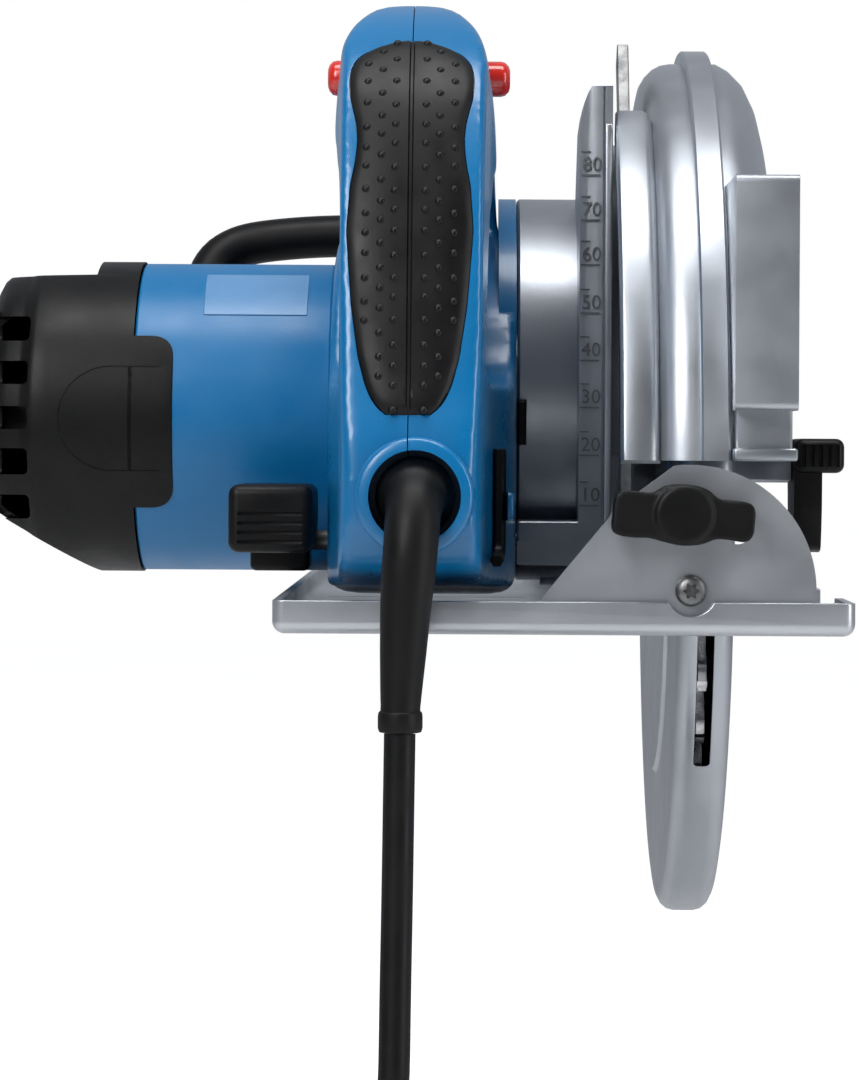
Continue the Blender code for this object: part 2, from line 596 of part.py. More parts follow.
def handle_half(name, x0, x1, wall_x0, wall_x1):
    shell = outline(name, "X", OUTER, x0, x1, [HOLE])
    shell = meet(shell, outline("front", "Y", FRONT, -220, 40))
    shell = meet(shell, outline("plan", "Z", PLAN, 0, 200))
    room = outline("room", "X", offset(OUTER, HANDLE_WALL), wall_x0, wall_x1, [offset(HOLE[::-1], HANDLE_WALL)[::-1]])
    room = meet(room, outline("slim", "Y", offset(FRONT, HANDLE_WALL + 0.4), -220, 40))
    room = meet(room, outline("slim2", "Z", offset(PLAN, HANDLE_WALL), 0, 200))
    shell = cut(shell, room)
    return shell


left = handle_half("left", HANDLE_X0, SPLIT - GAP / 2, HANDLE_X0 - 5, SPLIT + 5)
right = handle_half("right", SPLIT + GAP / 2, HANDLE_X1, SPLIT - 5, HANDLE_X1 + 5)

# Soft grip over the rear of the handle
BACK = [(-66, 174), (-94, 181), (-122, 180.5), (-146, 172), (-166, 155), (-180, 130), (-189, 100), (-195, 70),
        (-197.4, 60)]


def band(points, inward, outward):
    """A closed outline lying along points: inward is towards the hole."""
    inner_line, outer_line = [], []
    for i, p in enumerate(points):
        a = Vector(points[max(0, i - 1)])
        b = Vector(points[min(len(points) - 1, i + 1)])
        d = (b - a).normalized()
        n = Vector((-d.y, d.x))
        inner_line.append(tuple(Vector(p) + n * inward))
        outer_line.append(tuple(Vector(p) - n * outward))
    return inner_line + outer_line[::-1]


GRIP_LINE = BACK[2:]
GRIP_SIDE = [(5.0, 58.6), (11.0, 65.0), (13.7, 76), (16.0, 92), (GRIP_HALF, 111.6), (15.2, 130), (14.8, 138.5),
             (17.2, 152), (17.0, 158.7), (9.0, 165.4)]
GRIP_FRONT = [*GRIP_SIDE, *[(-u, v) for u, v in GRIP_SIDE[::-1]]]
grip_front = [(HANDLE_X + u, v) for u, v in GRIP_FRONT]
grip = outline("grip", "X", band(GRIP_LINE, 2.0, 1.8), HANDLE_X - 20, HANDLE_X + 20)
grip = meet(grip, outline("gf", "Y", grip_front, -230, -60))
recess_front = offset(grip_front, -GAP)


def recess(name):
    found = outline(name, "X", band(GRIP_LINE, 2.0 + GAP, 6.0), HANDLE_X - 20, HANDLE_X + 20)
    return meet(found, outline("rf", "Y", recess_front, -230, -60))


GLAND_X, GLAND_Z = -40.9, 37.9
TRIGGER_Y, TRIGGER_Z = -124.0, 154.0
LOCK_Y, LOCK_Z = -112.0, 160.0


def openings(name):
    """What is cut through both handle shells."""
    return [
        recess(name),
        cylinder("g", "Y", (GLAND_X, GLAND_Z), 12.6, -230, -188, 20),
        cylinder("m", "X", (MOTOR_Y, MOTOR_Z), MOTOR_R - 6.0, -90, 0, 24),
        cylinder("rod", "X", (CLAMP_Y, CLAMP_Z), 3.6, -90, 0, 10),
        cylinder("lk", "X", (LOCK_Y, LOCK_Z), 5.7, -90, 0, 14),
        box("tr", (HANDLE_X - 7.5, HANDLE_X + 7.5), (-158, -116), (96, 147)),
    ]


left = cut(left, *openings("rl"))
right = cut(right, *openings("rr"))
SCREWS = ((-176.0, 52.0), (-28.0, 134.0))
for y, z in SCREWS:
    left = join(left, cylinder("post", "X", (y, z), 5.0, HANDLE_X0 + 8.0 if z < 100 else -64.0, SPLIT - GAP / 2, 10))
    right = join(right, cylinder("post", "X", (y, z), 5.0, SPLIT + GAP / 2, -22.6 if z < 100 else -21.0, 10))
    left = cut(left, cylinder("hole", "X", (y, z), 2.4, -80, 0, 8),
               cylinder("head", "X", (y, z), 4.3, -80, -58.0, 10))
    right = cut(right, cylinder("hole", "X", (y, z), 2.4, -60, -30.0, 8))
flange = outline("flange", "X", [*arc((BLADE_Y, GEAR_Z), GEAR_R, 92, 168, 14),
                                 *arc((BLADE_Y, GEAR_Z), GEAR_R - 12, 168, 92, 14)], -17.7, HANDLE_X1)
right = join(right, flange)
KEY_X, KEY_Y = -17.6, -142.0
clip = box("clip", (-23.6, KEY_X + 4.4), (KEY_Y - 4.4, KEY_Y + 4.0), (30.5, 38.5), 1.0)
right = join(right, clip)
right = cut(right, cylinder("k", "Z", (KEY_X, KEY_Y), 2.5, 10, 60, 12),
            box("k2", (KEY_X - 2.5, KEY_X + 2.5), (KEY_Y - 10, KEY_Y), (10, 60)))
finish(left, "handle_left", "saw_body", "blue")
finish(right, "handle_right", "saw_body", "blue")
finish(grip, "grip", "saw_body", "rubber")
for letter, (y, z) in zip("ab", SCREWS):
    ring = [(0.0, -58.6), (3.6, -58.6), (3.6, -61.0), (2.8, -61.6), (0.0, -61.6)]
    ring = [(0.0, -31.0), (2.0, -31.0), (2.0, -58.4), (3.6, -58.4), (3.6, -61.0), (2.8, -61.6), (1.2, -61.6),
            (1.0, -60.4), (0.0, -60.4)]
    finish(turned("screw", "X", (0, y, z), ring, 8), "handle_screw_" + letter, "saw_body", "zinc")

# ---- front handle ----

bow = [(-13, 60, 104), (-22, 62, 116), (-40, 63, 122), (-70, 63, 123.4), (-98, 62, 121.2), (-110, 60, 117),
       (-115.4, 57, 110), (-116, 52, 102), (-112, 45, 97), (-104, 36, 94)]
front_handle = wire("bow", [tuple(p) for p in smooth_path(bow, 13)], 7.2, 2)
foot = box("foot", (-12.0 - 18, -9.0), (18, 66), (92, 112), 3.0)
pad = box("pad", (-122, -94), (MOTOR_Y + MOTOR_R - 14.2, 50), (MOTOR_Z + MOTOR_R - 24.6, 104), 2.0)
front_handle = join(front_handle, foot, pad)
front_handle = cut(front_handle,
                   cylinder("mh", "X", (MOTOR_Y, MOTOR_Z), MOTOR_R + 0.6, -140, 0, 32),
                   outline("hh", "X", offset(OUTER, -GAP), HANDLE_X0 - GAP, HANDLE_X1 + GAP),
                   cylinder("gh", "X", (BLADE_Y, GEAR_Z), GEAR_R + 0.7, -40, 20, 32))
finish(front_handle, "front_handle", "saw_body", "black")

# ---- depth clamp ----

body("depth_lever", (-84, CLAMP_Y, CLAMP_Z), "saw_body")
rod = turned("rod", "X", (0, CLAMP_Y, CLAMP_Z),
             [(0.0, 26.0), (7.4, 26.0), (8.0, 25.2), (8.0, ARC_X1 + 0.4), (3.0, ARC_X1 + 0.4),
              (3.0, -78.0), (0.0, -78.0)], 16)
finish(rod, "clamp_rod", "saw_body", "zinc")
lever = box("lever", (-96.0, -71.6), (CLAMP_Y - 34, CLAMP_Y + 9), (20.4, 40.2), 2.4, 2)
lever = join(lever, box("stem", (-91.0, -73.4), (CLAMP_Y - 9, CLAMP_Y + 8), (14.4, 26.0), 1.5))
lever = cut(lever, cylinder("rod", "X", (CLAMP_Y, CLAMP_Z), 3.3, -78.6, -60, 16))
finish(lever, "depth_lever", "depth_lever", "black")

# ---- spindle, blade ----

FL = BLADE_X - BLADE_SHEET / 2
finish(turned("stub", "X", (0, *AX),
              [(0.0, 28.0), (4.3, 28.0), (4.3, 46.0), (6.0, 46.0), (6.0, 36.4), (7.4, 36.4), (7.4, -10.0),
               (0.0, -10.0)], 16), "spindle", "spindle", "steel")
gear = turned("gear", "X", (0, *AX),
              [(21.0, 7.0), (21.0, -3.0), (7.8, -3.0), (7.8, 7.0)], 24)
finish(gear, "spindle_gear", "spindle", "steel")
finish(turned("fl", "X", (0, *AX), [(20.0, FL - GAP), (20.0, FL - 2.0), (14.0, FL - 2.9), (6.4, FL - 2.9),
                                    (6.4, FL - GAP)], 20), "inner_flange", "spindle", "steel")
finish(turned("fr", "X", (0, *AX), [(6.4, BLADE_X + 6.4), (15.0, BLADE_X + 6.4), (20.0, BLADE_X + 3.4),
                                    (20.0, BLADE_X + 1.5), (6.4, BLADE_X + 1.5)], 20),
       "outer_flange", "spindle", "steel")
TEETH = 24
rim_line = []
for i in range(TEETH):
    a = 360.0 * i / TEETH
    for r, da in ((BLADE_R, 0.0), (BLADE_R - 1.6, 3.4), (BLADE_R - 4.5, 8.5), (BLADE_R - 9.0, 12.4)):
        rim_line.append((BLADE_Y + r * math.cos(math.radians(a + da)), BLADE_Z + r * math.sin(math.radians(a + da))))
blade = outline("blade", "X", rim_line, BLADE_X - BLADE_SHEET / 2, BLADE_X + BLADE_SHEET / 2,
                [arc(AX, 6.5, 0, 360, 20)[:-1]])
finish(blade, "blade", "spindle", "blade")
head = cylinder("head", "X", AX, 6.6, BLADE_X + 7.6, BLADE_X + 12.8, 6)
washer = cylinder("washer", "X", AX, 9.0, BLADE_X + 6.7, BLADE_X + 8.2, 24)
shank = cylinder("shank", "X", AX, 4.0, 29.0, BLADE_X + 8.0, 16)
finish(join(washer, head, shank), "blade_bolt", "spindle", "zinc")

# ---- armature ----

MA = (MOTOR_Y, MOTOR_Z)
finish(turned("shaft", "X", (0, *MA),
              [(0.0, 7.5), (4.0, 7.5), (4.0, -4.0), (6.0, -4.0), (6.0, -162.0), (0.0, -162.0)], 20),
       "armature_shaft", "armature", "steel")
finish(turned("core", "X", (0, *MA), [(24.0, -84.0), (24.0, -122.0), (6.4, -126.0), (6.4, -80.0)], 20),
       "armature_core", "armature", "copper")
finish(turned("comm", "X", (0, *MA), [(14.0, -129.0), (14.0, -147.0), (6.4, -147.0), (6.4, -129.0)], 16),
       "commutator", "armature", "copper")
FAN_R = MOTOR_R - 10.2
fan = turned("fan", "X", (0, *MA), [(FAN_R, -60.0), (FAN_R, -62.0), (12.0, -70.0), (6.4, -70.0), (6.4, -58.0),
                                    (12.0, -58.0), (13.0, -66.0)], 20)
for i in range(6):
    blade_box = box("vane", (-67.0, -53.0), (-1.0, 1.0), (12.0, FAN_R - 1.0))
    blade_box.matrix_world = Matrix.Translation(Vector((0, MOTOR_Y, MOTOR_Z)) * MM) @ Matrix.Rotation(
        math.radians(60 * i + 10), 4, "X")
    fan = join(fan, baked(blade_box))
finish(fan, "fan", "armature", "black")

finish(turned("stator", "X", (0, *MA), [(MOTOR_R - 6.2, -80.0), (MOTOR_R - 6.2, -126.0), (26.0, -126.0), (26.0, -80.0)], 24),
       "stator", "saw_body", "copper")


def bearing(name, centre, outer, bore, a, b):
    return finish(turned("ring", "X", (0, *centre), [(outer, b), (outer, a), (bore, a), (bore, b)], 16),
                  name, "saw_body", "steel")


bearing("motor_bearing_rear", MA, 11.0, 6.3, -163.0, -155.0)
bearing("motor_bearing_front", MA, 14.0, 6.3, -40.0, -31.0)
bearing("spindle_bearing_inner", AX, 14.9, 7.7, -2.4 + 12.4, 17.0)
bearing("spindle_bearing_outer", AX, 14.9, 7.7, 17.4, 24.0)
web_plate = turned("web", "X", (0, *MA), [(MOTOR_R - 9.2, -45.4), (MOTOR_R - 9.2, -48.4), (14.4, -48.4), (14.4, -30.6),
                                          (18.0, -30.6), (18.0, -45.4)], 20)
finish(web_plate, "bearing_plate", "saw_body", "black")
for letter, side in (("top", 1), ("bottom", -1)):
    z0, z1 = sorted((MOTOR_Z + side * 19.0, MOTOR_Z + side * (MOTOR_R - 7.2)))
    holder = box("h", (-144.0, -132.0), (MOTOR_Y - 7, MOTOR_Y + 7), (z0, z1))
    hole = sorted((MOTOR_Z + side * 10.0, MOTOR_Z + side * (MOTOR_R - 10.2)))
    holder = cut(holder, box("b", (-141.6, -134.4), (MOTOR_Y - 4.6, MOTOR_Y + 4.6), hole))
    finish(holder, "brush_holder_" + letter, "saw_body", "brown")
    reach = sorted((MOTOR_Z + side * 14.3, MOTOR_Z + side * (MOTOR_R - 15.2)))
    finish(box("c", (-141.2, -134.8), (MOTOR_Y - 4.2, MOTOR_Y + 4.2), reach), "brush_" + letter, "saw_body",
           "carbon")

# ---- lower guard ----

LX = BLADE_X
half = LOWER_HALF
profile = [(24.0, LX + half), (LOWER_R - 5, LX + half), (LOWER_R - 1.4, LX + half - 2.0), (LOWER_R, LX + half - 5),
           (LOWER_R, LX - half + 5), (LOWER_R - 1.4, LX - half + 2.0), (LOWER_R - 5, LX - half),
           (86.0, LX - half), (84.5, LX - half - 1.5), (20.0, LX - half - 1.5)]
w = LOWER_SHEET
lower = turned("lower", "X", (0, *AX), [(0.0, LX + half), *profile[1:-1], (0.0, LX - half - 1.5)], GUARD_STEPS)
room = [(0.0, LX + half - w), (LOWER_R - 5 - w, LX + half - w), (LOWER_R - w - 0.4, LX + half - w - 2.6),
        (LOWER_R - w - 0.4, LX - half + w + 2.6), (LOWER_R - 5 - w, LX - half + w), (0.0, LX - half + w)]
OPEN_R = LOWER_R + 20
lower = cut(lower, outline("above", "X", [(BLADE_Y, BLADE_Z + 26.0), *[
    (BLADE_Y + OPEN_R * math.cos(math.radians(a)), BLADE_Z + OPEN_R * math.sin(math.radians(a)))
    for a in (4, 40, 90, 140, 172)]], 0, 90))
lower = cut(lower, turned("room", "X", (0, *AX), room, GUARD_STEPS))
lower = cut(lower, cylinder("hub", "X", AX, 20.6, 20, LX, 28),
            cylinder("eye", "X", AX, 23.0, LX, 60, 28),
            box("knife", (LX - 2.4, LX + 2.4), (-200, -120), (-40, 40)))
lower = join(lower, outline("ear", "X", [*arc(AX, 108.0, 166, 176, 3), *arc(AX, 95.0, 176, 166, 3)],
                            LX + half - 1.0, DRUM_X1 + 3.6))
finish(lower, "lower_guard", "lower_guard", "cast")
stem = outline("stem", "X", [(-146, 22.6), (-132, 22.6), (-128, 34), (-126, 54), (-150, 54), (-149, 34)], 66.4, 74.4)
thumb = box("thumb", (66.4, 80.6), (-152, -124), (44.6, 54.4), 1.4)
stem = join(stem, thumb)
finish(stem, "guard_lever", "lower_guard", "black")

# ---- handle's moving pieces ----

body("trigger", (HANDLE_X, TRIGGER_Y, TRIGGER_Z), "saw_body")
trigger = outline("trigger", "X", [(-127.6, 158), (-120, 158), (-119.6, 150), (-124, 142), (-133, 128),
                                   (-141, 112), (-143.4, 102), (-148, 102), (-148, 112), (-141, 130), (-131, 146)],
                  HANDLE_X - 7.0, HANDLE_X + 7.0)
finish(trigger, "trigger", "trigger", "black")
body("lock_off", (HANDLE_X, LOCK_Y, LOCK_Z), "saw_body")
ring = [(0.0, -15.0), (3.6, -15.0), (5.2, -16.6), (5.2, -26.0), (2.6, -26.0), (2.6, -60.0), (5.2, -60.0),
        (5.2, -67.0), (3.6, -68.6), (0.0, -68.6)]
finish(turned("lock", "X", (0, LOCK_Y, LOCK_Z), ring, 14), "lock_off_bar", "lock_off", "red")
body("spindle_lock", (LOCK_X, -88.0, 59.0), "saw_body")
lock = box("sl", (LOCK_X - 1.2, LOCK_X + 1.2), (-100.2, -84.0), (LOCK_Z0, LOCK_Z1), 0.5)
finish(lock, "spindle_lock_button", "spindle_lock", "black")

# ---- inside the handle ----

switch = box("switch", (HANDLE_X - 10, HANDLE_X + 10), (-180, -158.5), (98, 142), 1.0)
switch = meet(switch, outline("fit", "X", offset(OUTER, 6.0), -80, 0, [offset(HOLE[::-1], 4.0)[::-1]]))
finish(switch, "switch", "saw_body", "black")
clamp = box("clamp", (-58.0, -25.0), (-172, -160), (30, 46), 1.0)
clamp = cut(clamp, cylinder("c", "Y", (GLAND_X, GLAND_Z), CORD_D / 2 + 0.3, -190, -150, 16))
finish(clamp, "cable_clamp", "saw_body", "black")

# ---- cord sleeve, cord, coil and plug ----

sleeve_path = [(GLAND_X, -184, GLAND_Z), (GLAND_X, -196, 37), (GLAND_X - 0.6, -206, 31), (-42.4, -209, 20),
               (-43.4, -208.5, 4), (-44.0, -208, -12), (-44.4, -208, -25.5)]
line = smooth_path(sleeve_path, 14)
radii = [1.0, 1.05, 1.05, 0.98, 0.88, 0.82, 0.78, 0.74, 0.71, 0.68, 0.66, 0.64, 0.66, 0.66]
finish(wire("sleeve", line, 9.4, 3, radii), "cord_sleeve", "saw_body", "rubber")
CORD_ROUTE = [(-44.4, -208, -26.0), (-44.6, -209, -60), (-45.0, -212.6, -95), (-45.2, -217.4, -138.4)]
finish(wire("cord", smooth_path(CORD_ROUTE, 8), CORD_D / 2, 2), "cord_tube", "saw_body", "rubber")
SECTION = [(COIL_DEEP, -COIL_WIDE + 3.5), (COIL_DEEP, COIL_WIDE - 3.5), (COIL_DEEP - 3.5, COIL_WIDE),
           (3.5 - COIL_DEEP, COIL_WIDE), (-COIL_DEEP, COIL_WIDE - 3.5), (-COIL_DEEP, 3.5 - COIL_WIDE),
           (3.5 - COIL_DEEP, -COIL_WIDE), (COIL_DEEP - 3.5, -COIL_WIDE)]
coil = turned("coil", "Y", COIL_CENTRE, [(COIL_R + u, v) for u, v in SECTION], 24)
finish(coil, "cord_coil", "saw_body", "rubber")
TIE_Z = COIL_CENTRE.z - COIL_R
tie_half = [(COIL_WIDE + 0.5, COIL_DEEP + 0.6), (COIL_WIDE + 2.0, COIL_DEEP + 2.1)]
tie = box("tie", (COIL_CENTRE.x - 4, COIL_CENTRE.x + 4),
          (COIL_CENTRE.y - tie_half[1][0], COIL_CENTRE.y + tie_half[1][0]),
          (TIE_Z - tie_half[1][1], TIE_Z + tie_half[1][1]), 2.0)
tie = cut(tie, box("t", (COIL_CENTRE.x - 9, COIL_CENTRE.x + 9),
                   (COIL_CENTRE.y - tie_half[0][0], COIL_CENTRE.y + tie_half[0][0]),
                   (TIE_Z - tie_half[0][1], TIE_Z + tie_half[0][1]), 0.0))
finish(tie, "cord_tie", "saw_body", "black")
PLUG = Vector((COIL_CENTRE.x - 61.2, COIL_CENTRE.y + 13.5, 0))
plug = turned("plug", "Z", PLUG, [(0.0, -288.0), (14.6, -288.0), (16.0, -286.6), (16.0, -270.0), (12.0, -263.0),
                                  (7.5, -260.0), (5.4, -239.0), (0.0, -239.0)], 14)
for side in (-1, 1):
    plug = join(plug, cylinder("p", "Z", (PLUG.x + 9.5 * side, PLUG.y), 2.4, -307.0, -286.0, 10))
finish(plug, "plug", "saw_body", "black")

# ---- springs, hex key ----

turns, points = 6, []
for i in range(turns * 6 + 1):
    a = math.radians(60 * i)
    points.append((20.9 + 2.6 * math.cos(a), 20.0 + 2.6 * math.sin(a), 62.0 + 26.0 * i / (turns * 6)))
finish(wire("spring", points, 0.5, 0), "guard_spring", "saw_body", "steel")
body("hex_key", (KEY_X, KEY_Y, 50.0), "saw_body")
key = wire("key", [(KEY_X, KEY_Y, 51.0), (KEY_X, KEY_Y, 25.0), (KEY_X - 0.2, KEY_Y - 1.6, 21.6),
                   (KEY_X - 0.4, KEY_Y - 5.0, 20.0), (KEY_X - 0.6, KEY_Y - 16.0, 19.4)], 2.1, 1)
finish(key, "hex_key", "hex_key", "black")

for obj in list(TOOLS.objects):
    bpy.data.objects.remove(obj, do_unlink=True)
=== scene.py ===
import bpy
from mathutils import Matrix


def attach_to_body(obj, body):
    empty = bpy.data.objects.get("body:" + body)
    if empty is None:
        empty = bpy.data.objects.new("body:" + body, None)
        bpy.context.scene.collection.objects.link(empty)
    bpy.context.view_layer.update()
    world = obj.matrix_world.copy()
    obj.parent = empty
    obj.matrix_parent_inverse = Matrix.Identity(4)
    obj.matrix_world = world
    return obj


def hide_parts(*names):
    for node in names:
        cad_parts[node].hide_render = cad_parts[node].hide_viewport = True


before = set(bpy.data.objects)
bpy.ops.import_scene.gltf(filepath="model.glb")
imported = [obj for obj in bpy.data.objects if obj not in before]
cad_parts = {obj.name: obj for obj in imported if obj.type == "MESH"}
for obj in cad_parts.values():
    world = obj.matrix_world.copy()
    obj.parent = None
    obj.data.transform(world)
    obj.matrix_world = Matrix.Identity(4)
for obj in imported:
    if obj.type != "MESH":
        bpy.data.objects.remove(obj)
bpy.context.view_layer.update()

from math import cos, pi, radians, sin, sqrt

import bmesh
import bpy
from mathutils import Matrix, Vector

M = 0.001
GAP = 0.3
PI = pi
scene = bpy.context.scene
WORK = bpy.data.collections.new("visual")
scene.collection.children.link(WORK)

# ---- camera ----

CAMERA_PLACE = (-0.0249, -1.1915, 0.0517)
CAMERA_ROLL = -0.35
LENS, SENSOR = 121.9, 36.0
SHIFT = (-0.0412, -0.087)
camera_data = bpy.data.cameras.new("camera")
camera_data.lens = LENS
camera_data.sensor_width = SENSOR
camera_data.shift_x, camera_data.shift_y = SHIFT
camera_data.clip_start, camera_data.clip_end = 0.01, 50.0
camera = bpy.data.objects.new("camera", camera_data)
scene.collection.objects.link(camera)
camera.location = CAMERA_PLACE
camera.rotation_euler = (radians(90), radians(CAMERA_ROLL), 0)
scene.camera = camera

# ---- materials ----


class Nodes:
    """A short way to build a material's nodes."""

    def __init__(self, name, base, rough, metal=0.0, coat=0.0, spec=0.5):
        self.mat = bpy.data.materials.new(name)
        self.mat.use_nodes = True
        self.tree = self.mat.node_tree
        self.shader = self.tree.nodes["Principled BSDF"]
        put = self.shader.inputs
        put["Base Color"].default_value = (*base, 1)
        put["Roughness"].default_value = rough
        put["Metallic"].default_value = metal
        put["Coat Weight"].default_value = coat
        put["Coat Roughness"].default_value = 0.12
        put["Specular IOR Level"].default_value = spec
        self.coords = self.tree.nodes.new("ShaderNodeTexCoord")
        self.normal = None

    def noise(self, scale, detail=4.0, stretch=None, rough=0.5):
        source = self.coords.outputs["Object"]
        if stretch:
            mapping = self.tree.nodes.new("ShaderNodeMapping")
            mapping.inputs["Scale"].default_value = stretch
            self.tree.links.new(source, mapping.inputs["Vector"])
            source = mapping.outputs["Vector"]
        tex = self.tree.nodes.new("ShaderNodeTexNoise")
        tex.inputs["Scale"].default_value = scale
        tex.inputs["Detail"].default_value = detail
        tex.inputs["Roughness"].default_value = rough
        self.tree.links.new(source, tex.inputs["Vector"])
        return tex.outputs["Fac"]

    def cells(self, scale):
        tex = self.tree.nodes.new("ShaderNodeTexVoronoi")
        tex.inputs["Scale"].default_value = scale
        self.tree.links.new(self.coords.outputs["Object"], tex.inputs["Vector"])
        return tex.outputs["Distance"]

    def span(self, value, low, high, a=0.3, b=0.7):
        made = self.tree.nodes.new("ShaderNodeMapRange")
        made.inputs["From Min"].default_value = a
        made.inputs["From Max"].default_value = b
        made.inputs["To Min"].default_value = low
        made.inputs["To Max"].default_value = high
        self.tree.links.new(value, made.inputs["Value"])
        return made.outputs["Result"]

    def roughen(self, value, low, high):
        self.tree.links.new(self.span(value, low, high), self.shader.inputs["Roughness"])
        return self

    def tint(self, value, a, b, low=0.35, high=0.65):
        ramp = self.tree.nodes.new("ShaderNodeValToRGB")
        ramp.color_ramp.elements[0].position = low
        ramp.color_ramp.elements[1].position = high
        ramp.color_ramp.elements[0].color = (*a, 1)
        ramp.color_ramp.elements[1].color = (*b, 1)
        self.tree.links.new(value, ramp.inputs["Fac"])
        self.tree.links.new(ramp.outputs["Color"], self.shader.inputs["Base Color"])
        return self

    def bump(self, value, strength, depth=0.0002):
        made = self.tree.nodes.new("ShaderNodeBump")
        made.inputs["Strength"].default_value = strength
        made.inputs["Distance"].default_value = depth
        self.tree.links.new(value, made.inputs["Height"])
        if self.normal:
            self.tree.links.new(self.normal, made.inputs["Normal"])
        self.normal = made.outputs["Normal"]
        self.tree.links.new(self.normal, self.shader.inputs["Normal"])
        return self


def shade(c, k):
    return tuple(min(1.0, x * k) for x in c)


BLUE = (0.0, 0.135, 0.335)
MAT = {}


def look(key, name, base, rough, tint, roughen, *bumps, **shader):
    """A material whose colour and roughness vary by noise, with bumps of noise or cells."""
    n = Nodes(name, base, rough, **shader)
    n.tint(n.noise(*tint[0]), *tint[1:]).roughen(n.noise(*roughen[0]), *roughen[1:])
    for kind, values, strength, depth in bumps:
        n.bump({"noise": n.noise, "cells": n.cells}[kind](*values), strength, depth)
    MAT[key] = n.mat


look("blue", "blue_gloss", BLUE, 0.3, ((14, 3), shade(BLUE, 0.93), shade(BLUE, 1.06)), ((60, 5), 0.26, 0.36),
    ("noise", (900, 3), 0.10, 0.00008), coat=0.25)
look("blue_grain", "blue_grain", BLUE, 0.38, ((12, 3), shade(BLUE, 0.92), shade(BLUE, 1.05)),
    ((80, 5), 0.32, 0.44), ("cells", (2200,), 0.35, 0.00006), ("noise", (500, 4), 0.15, 0.0001))
BLACK = (0.0026, 0.0027, 0.0030)
look("black", "black_plastic", BLACK, 0.42, ((18, 4), shade(BLACK, 0.8), shade(BLACK, 1.35)),
    ((70, 5), 0.36, 0.52), ("cells", (2400,), 0.45, 0.00007), ("noise", (600, 4), 0.2, 0.0001), spec=0.20)
look("grip", "soft_grip", (0.005, 0.005, 0.0055), 0.42, ((22, 4), (0.0026, 0.0026, 0.0029),
    (0.0050, 0.0050, 0.0055)), ((90, 4), 0.34, 0.5), ("noise", (1500, 4), 0.3, 0.00008), spec=0.24)
look("rubber", "cord_rubber", (0.005, 0.005, 0.0055), 0.42, ((30, 4), (0.0024, 0.0024, 0.0027),
    (0.0045, 0.0045, 0.0050)), ((120, 4), 0.40, 0.56), ("noise", (700, 3, (1, 1, 0.15)), 0.15, 0.00008),
    spec=0.22)
CAST = (0.40, 0.425, 0.46)
look("cast", "die_cast", CAST, 0.4, ((9, 4), shade(CAST, 0.9), shade(CAST, 1.07)), ((45, 6), 0.33, 0.47),
    ("noise", (420, 6, None, 0.65), 0.28, 0.00012), ("noise", (1700, 3), 0.2, 0.00005), metal=0.92, coat=0.1)
look("sheet", "sheet_satin", (0.46, 0.48, 0.51), 0.36, ((7, 4), (0.42, 0.44, 0.47), (0.50, 0.52, 0.55)),
    ((60, 6), 0.28, 0.42), ("noise", (520, 6, None, 0.6), 0.2, 0.0001), metal=0.85)
look("zinc", "zinc", (0.30, 0.31, 0.32), 0.45, ((140, 6), (0.11, 0.115, 0.12), (0.30, 0.30, 0.30)),
    ((200, 5), 0.34, 0.62), ("noise", (900, 6, (1, 1, 0.3)), 0.5, 0.0002), metal=0.9)
look("steel", "ground_steel", (0.55, 0.56, 0.58), 0.25, ((60, 5), (0.48, 0.49, 0.51), (0.62, 0.62, 0.63)),
    ((150, 5), 0.18, 0.34), ("noise", (1200, 4, (1, 0.1, 1)), 0.2, 0.00006), metal=1.0)
look("blade", "saw_plate", (0.52, 0.53, 0.55), 0.3, ((40, 5), (0.42, 0.43, 0.45), (0.58, 0.58, 0.60)),
    ((300, 4), 0.2, 0.4), ("noise", (800, 4, (1, 0.06, 1)), 0.25, 0.00006), metal=1.0)
look("copper", "copper", (0.55, 0.20, 0.08), 0.35, ((220, 3, (0.2, 1, 1)), (0.32, 0.11, 0.04),
    (0.70, 0.30, 0.13)), ((150, 3), 0.25, 0.5), ("noise", (500, 2, (0.1, 1, 1)), 0.8, 0.0004), metal=1.0)
look("red", "red_gloss", (0.55, 0.018, 0.012), 0.22, ((30, 3), (0.50, 0.015, 0.010), (0.60, 0.022, 0.014)),
    ((80, 3), 0.17, 0.28), ("noise", (900, 3), 0.06, 0.00006), coat=0.5)
look("brown", "brown_phenolic", (0.17, 0.09, 0.04), 0.5, ((150, 5), (0.12, 0.06, 0.03), (0.22, 0.12, 0.06)),
    ((90, 4), 0.4, 0.6))
look("carbon", "carbon", (0.03, 0.03, 0.03), 0.6, ((400, 5), (0.02, 0.02, 0.02), (0.05, 0.05, 0.052)),
    ((200, 4), 0.45, 0.7))
look("label", "label_blue", (0.10, 0.24, 0.44), 0.35, ((30, 3), (0.08, 0.215, 0.41), (0.12, 0.265, 0.47)),
    ((90, 3), 0.3, 0.42))
# The marks material is a darker grey than the cast scale plate: painted shade on the raised digits and ticks,
# standing in for the shading that sets them off from the plate.
look("marks", "marks_painted_shade", (0.16, 0.165, 0.17), 0.5, ((90, 4), (0.13, 0.135, 0.14), (0.20, 0.205, 0.21)),
    ((120, 4), 0.4, 0.6), metal=0.6)
look("dark", "dark_inside", (0.006, 0.006, 0.007), 0.6, ((60, 3), (0.004, 0.004, 0.005), (0.010, 0.010, 0.011)),
    ((90, 3), 0.5, 0.7))

# ---- mesh tools ----


def made(name, mesh):
    found = bpy.data.objects.new(name, mesh)
    WORK.objects.link(found)
    return found


def from_bmesh(name, bm):
    bmesh.ops.recalc_face_normals(bm, faces=bm.faces)
    mesh = bpy.data.meshes.new(name)
    bm.to_mesh(mesh)
    bm.free()
    return made(name, mesh)


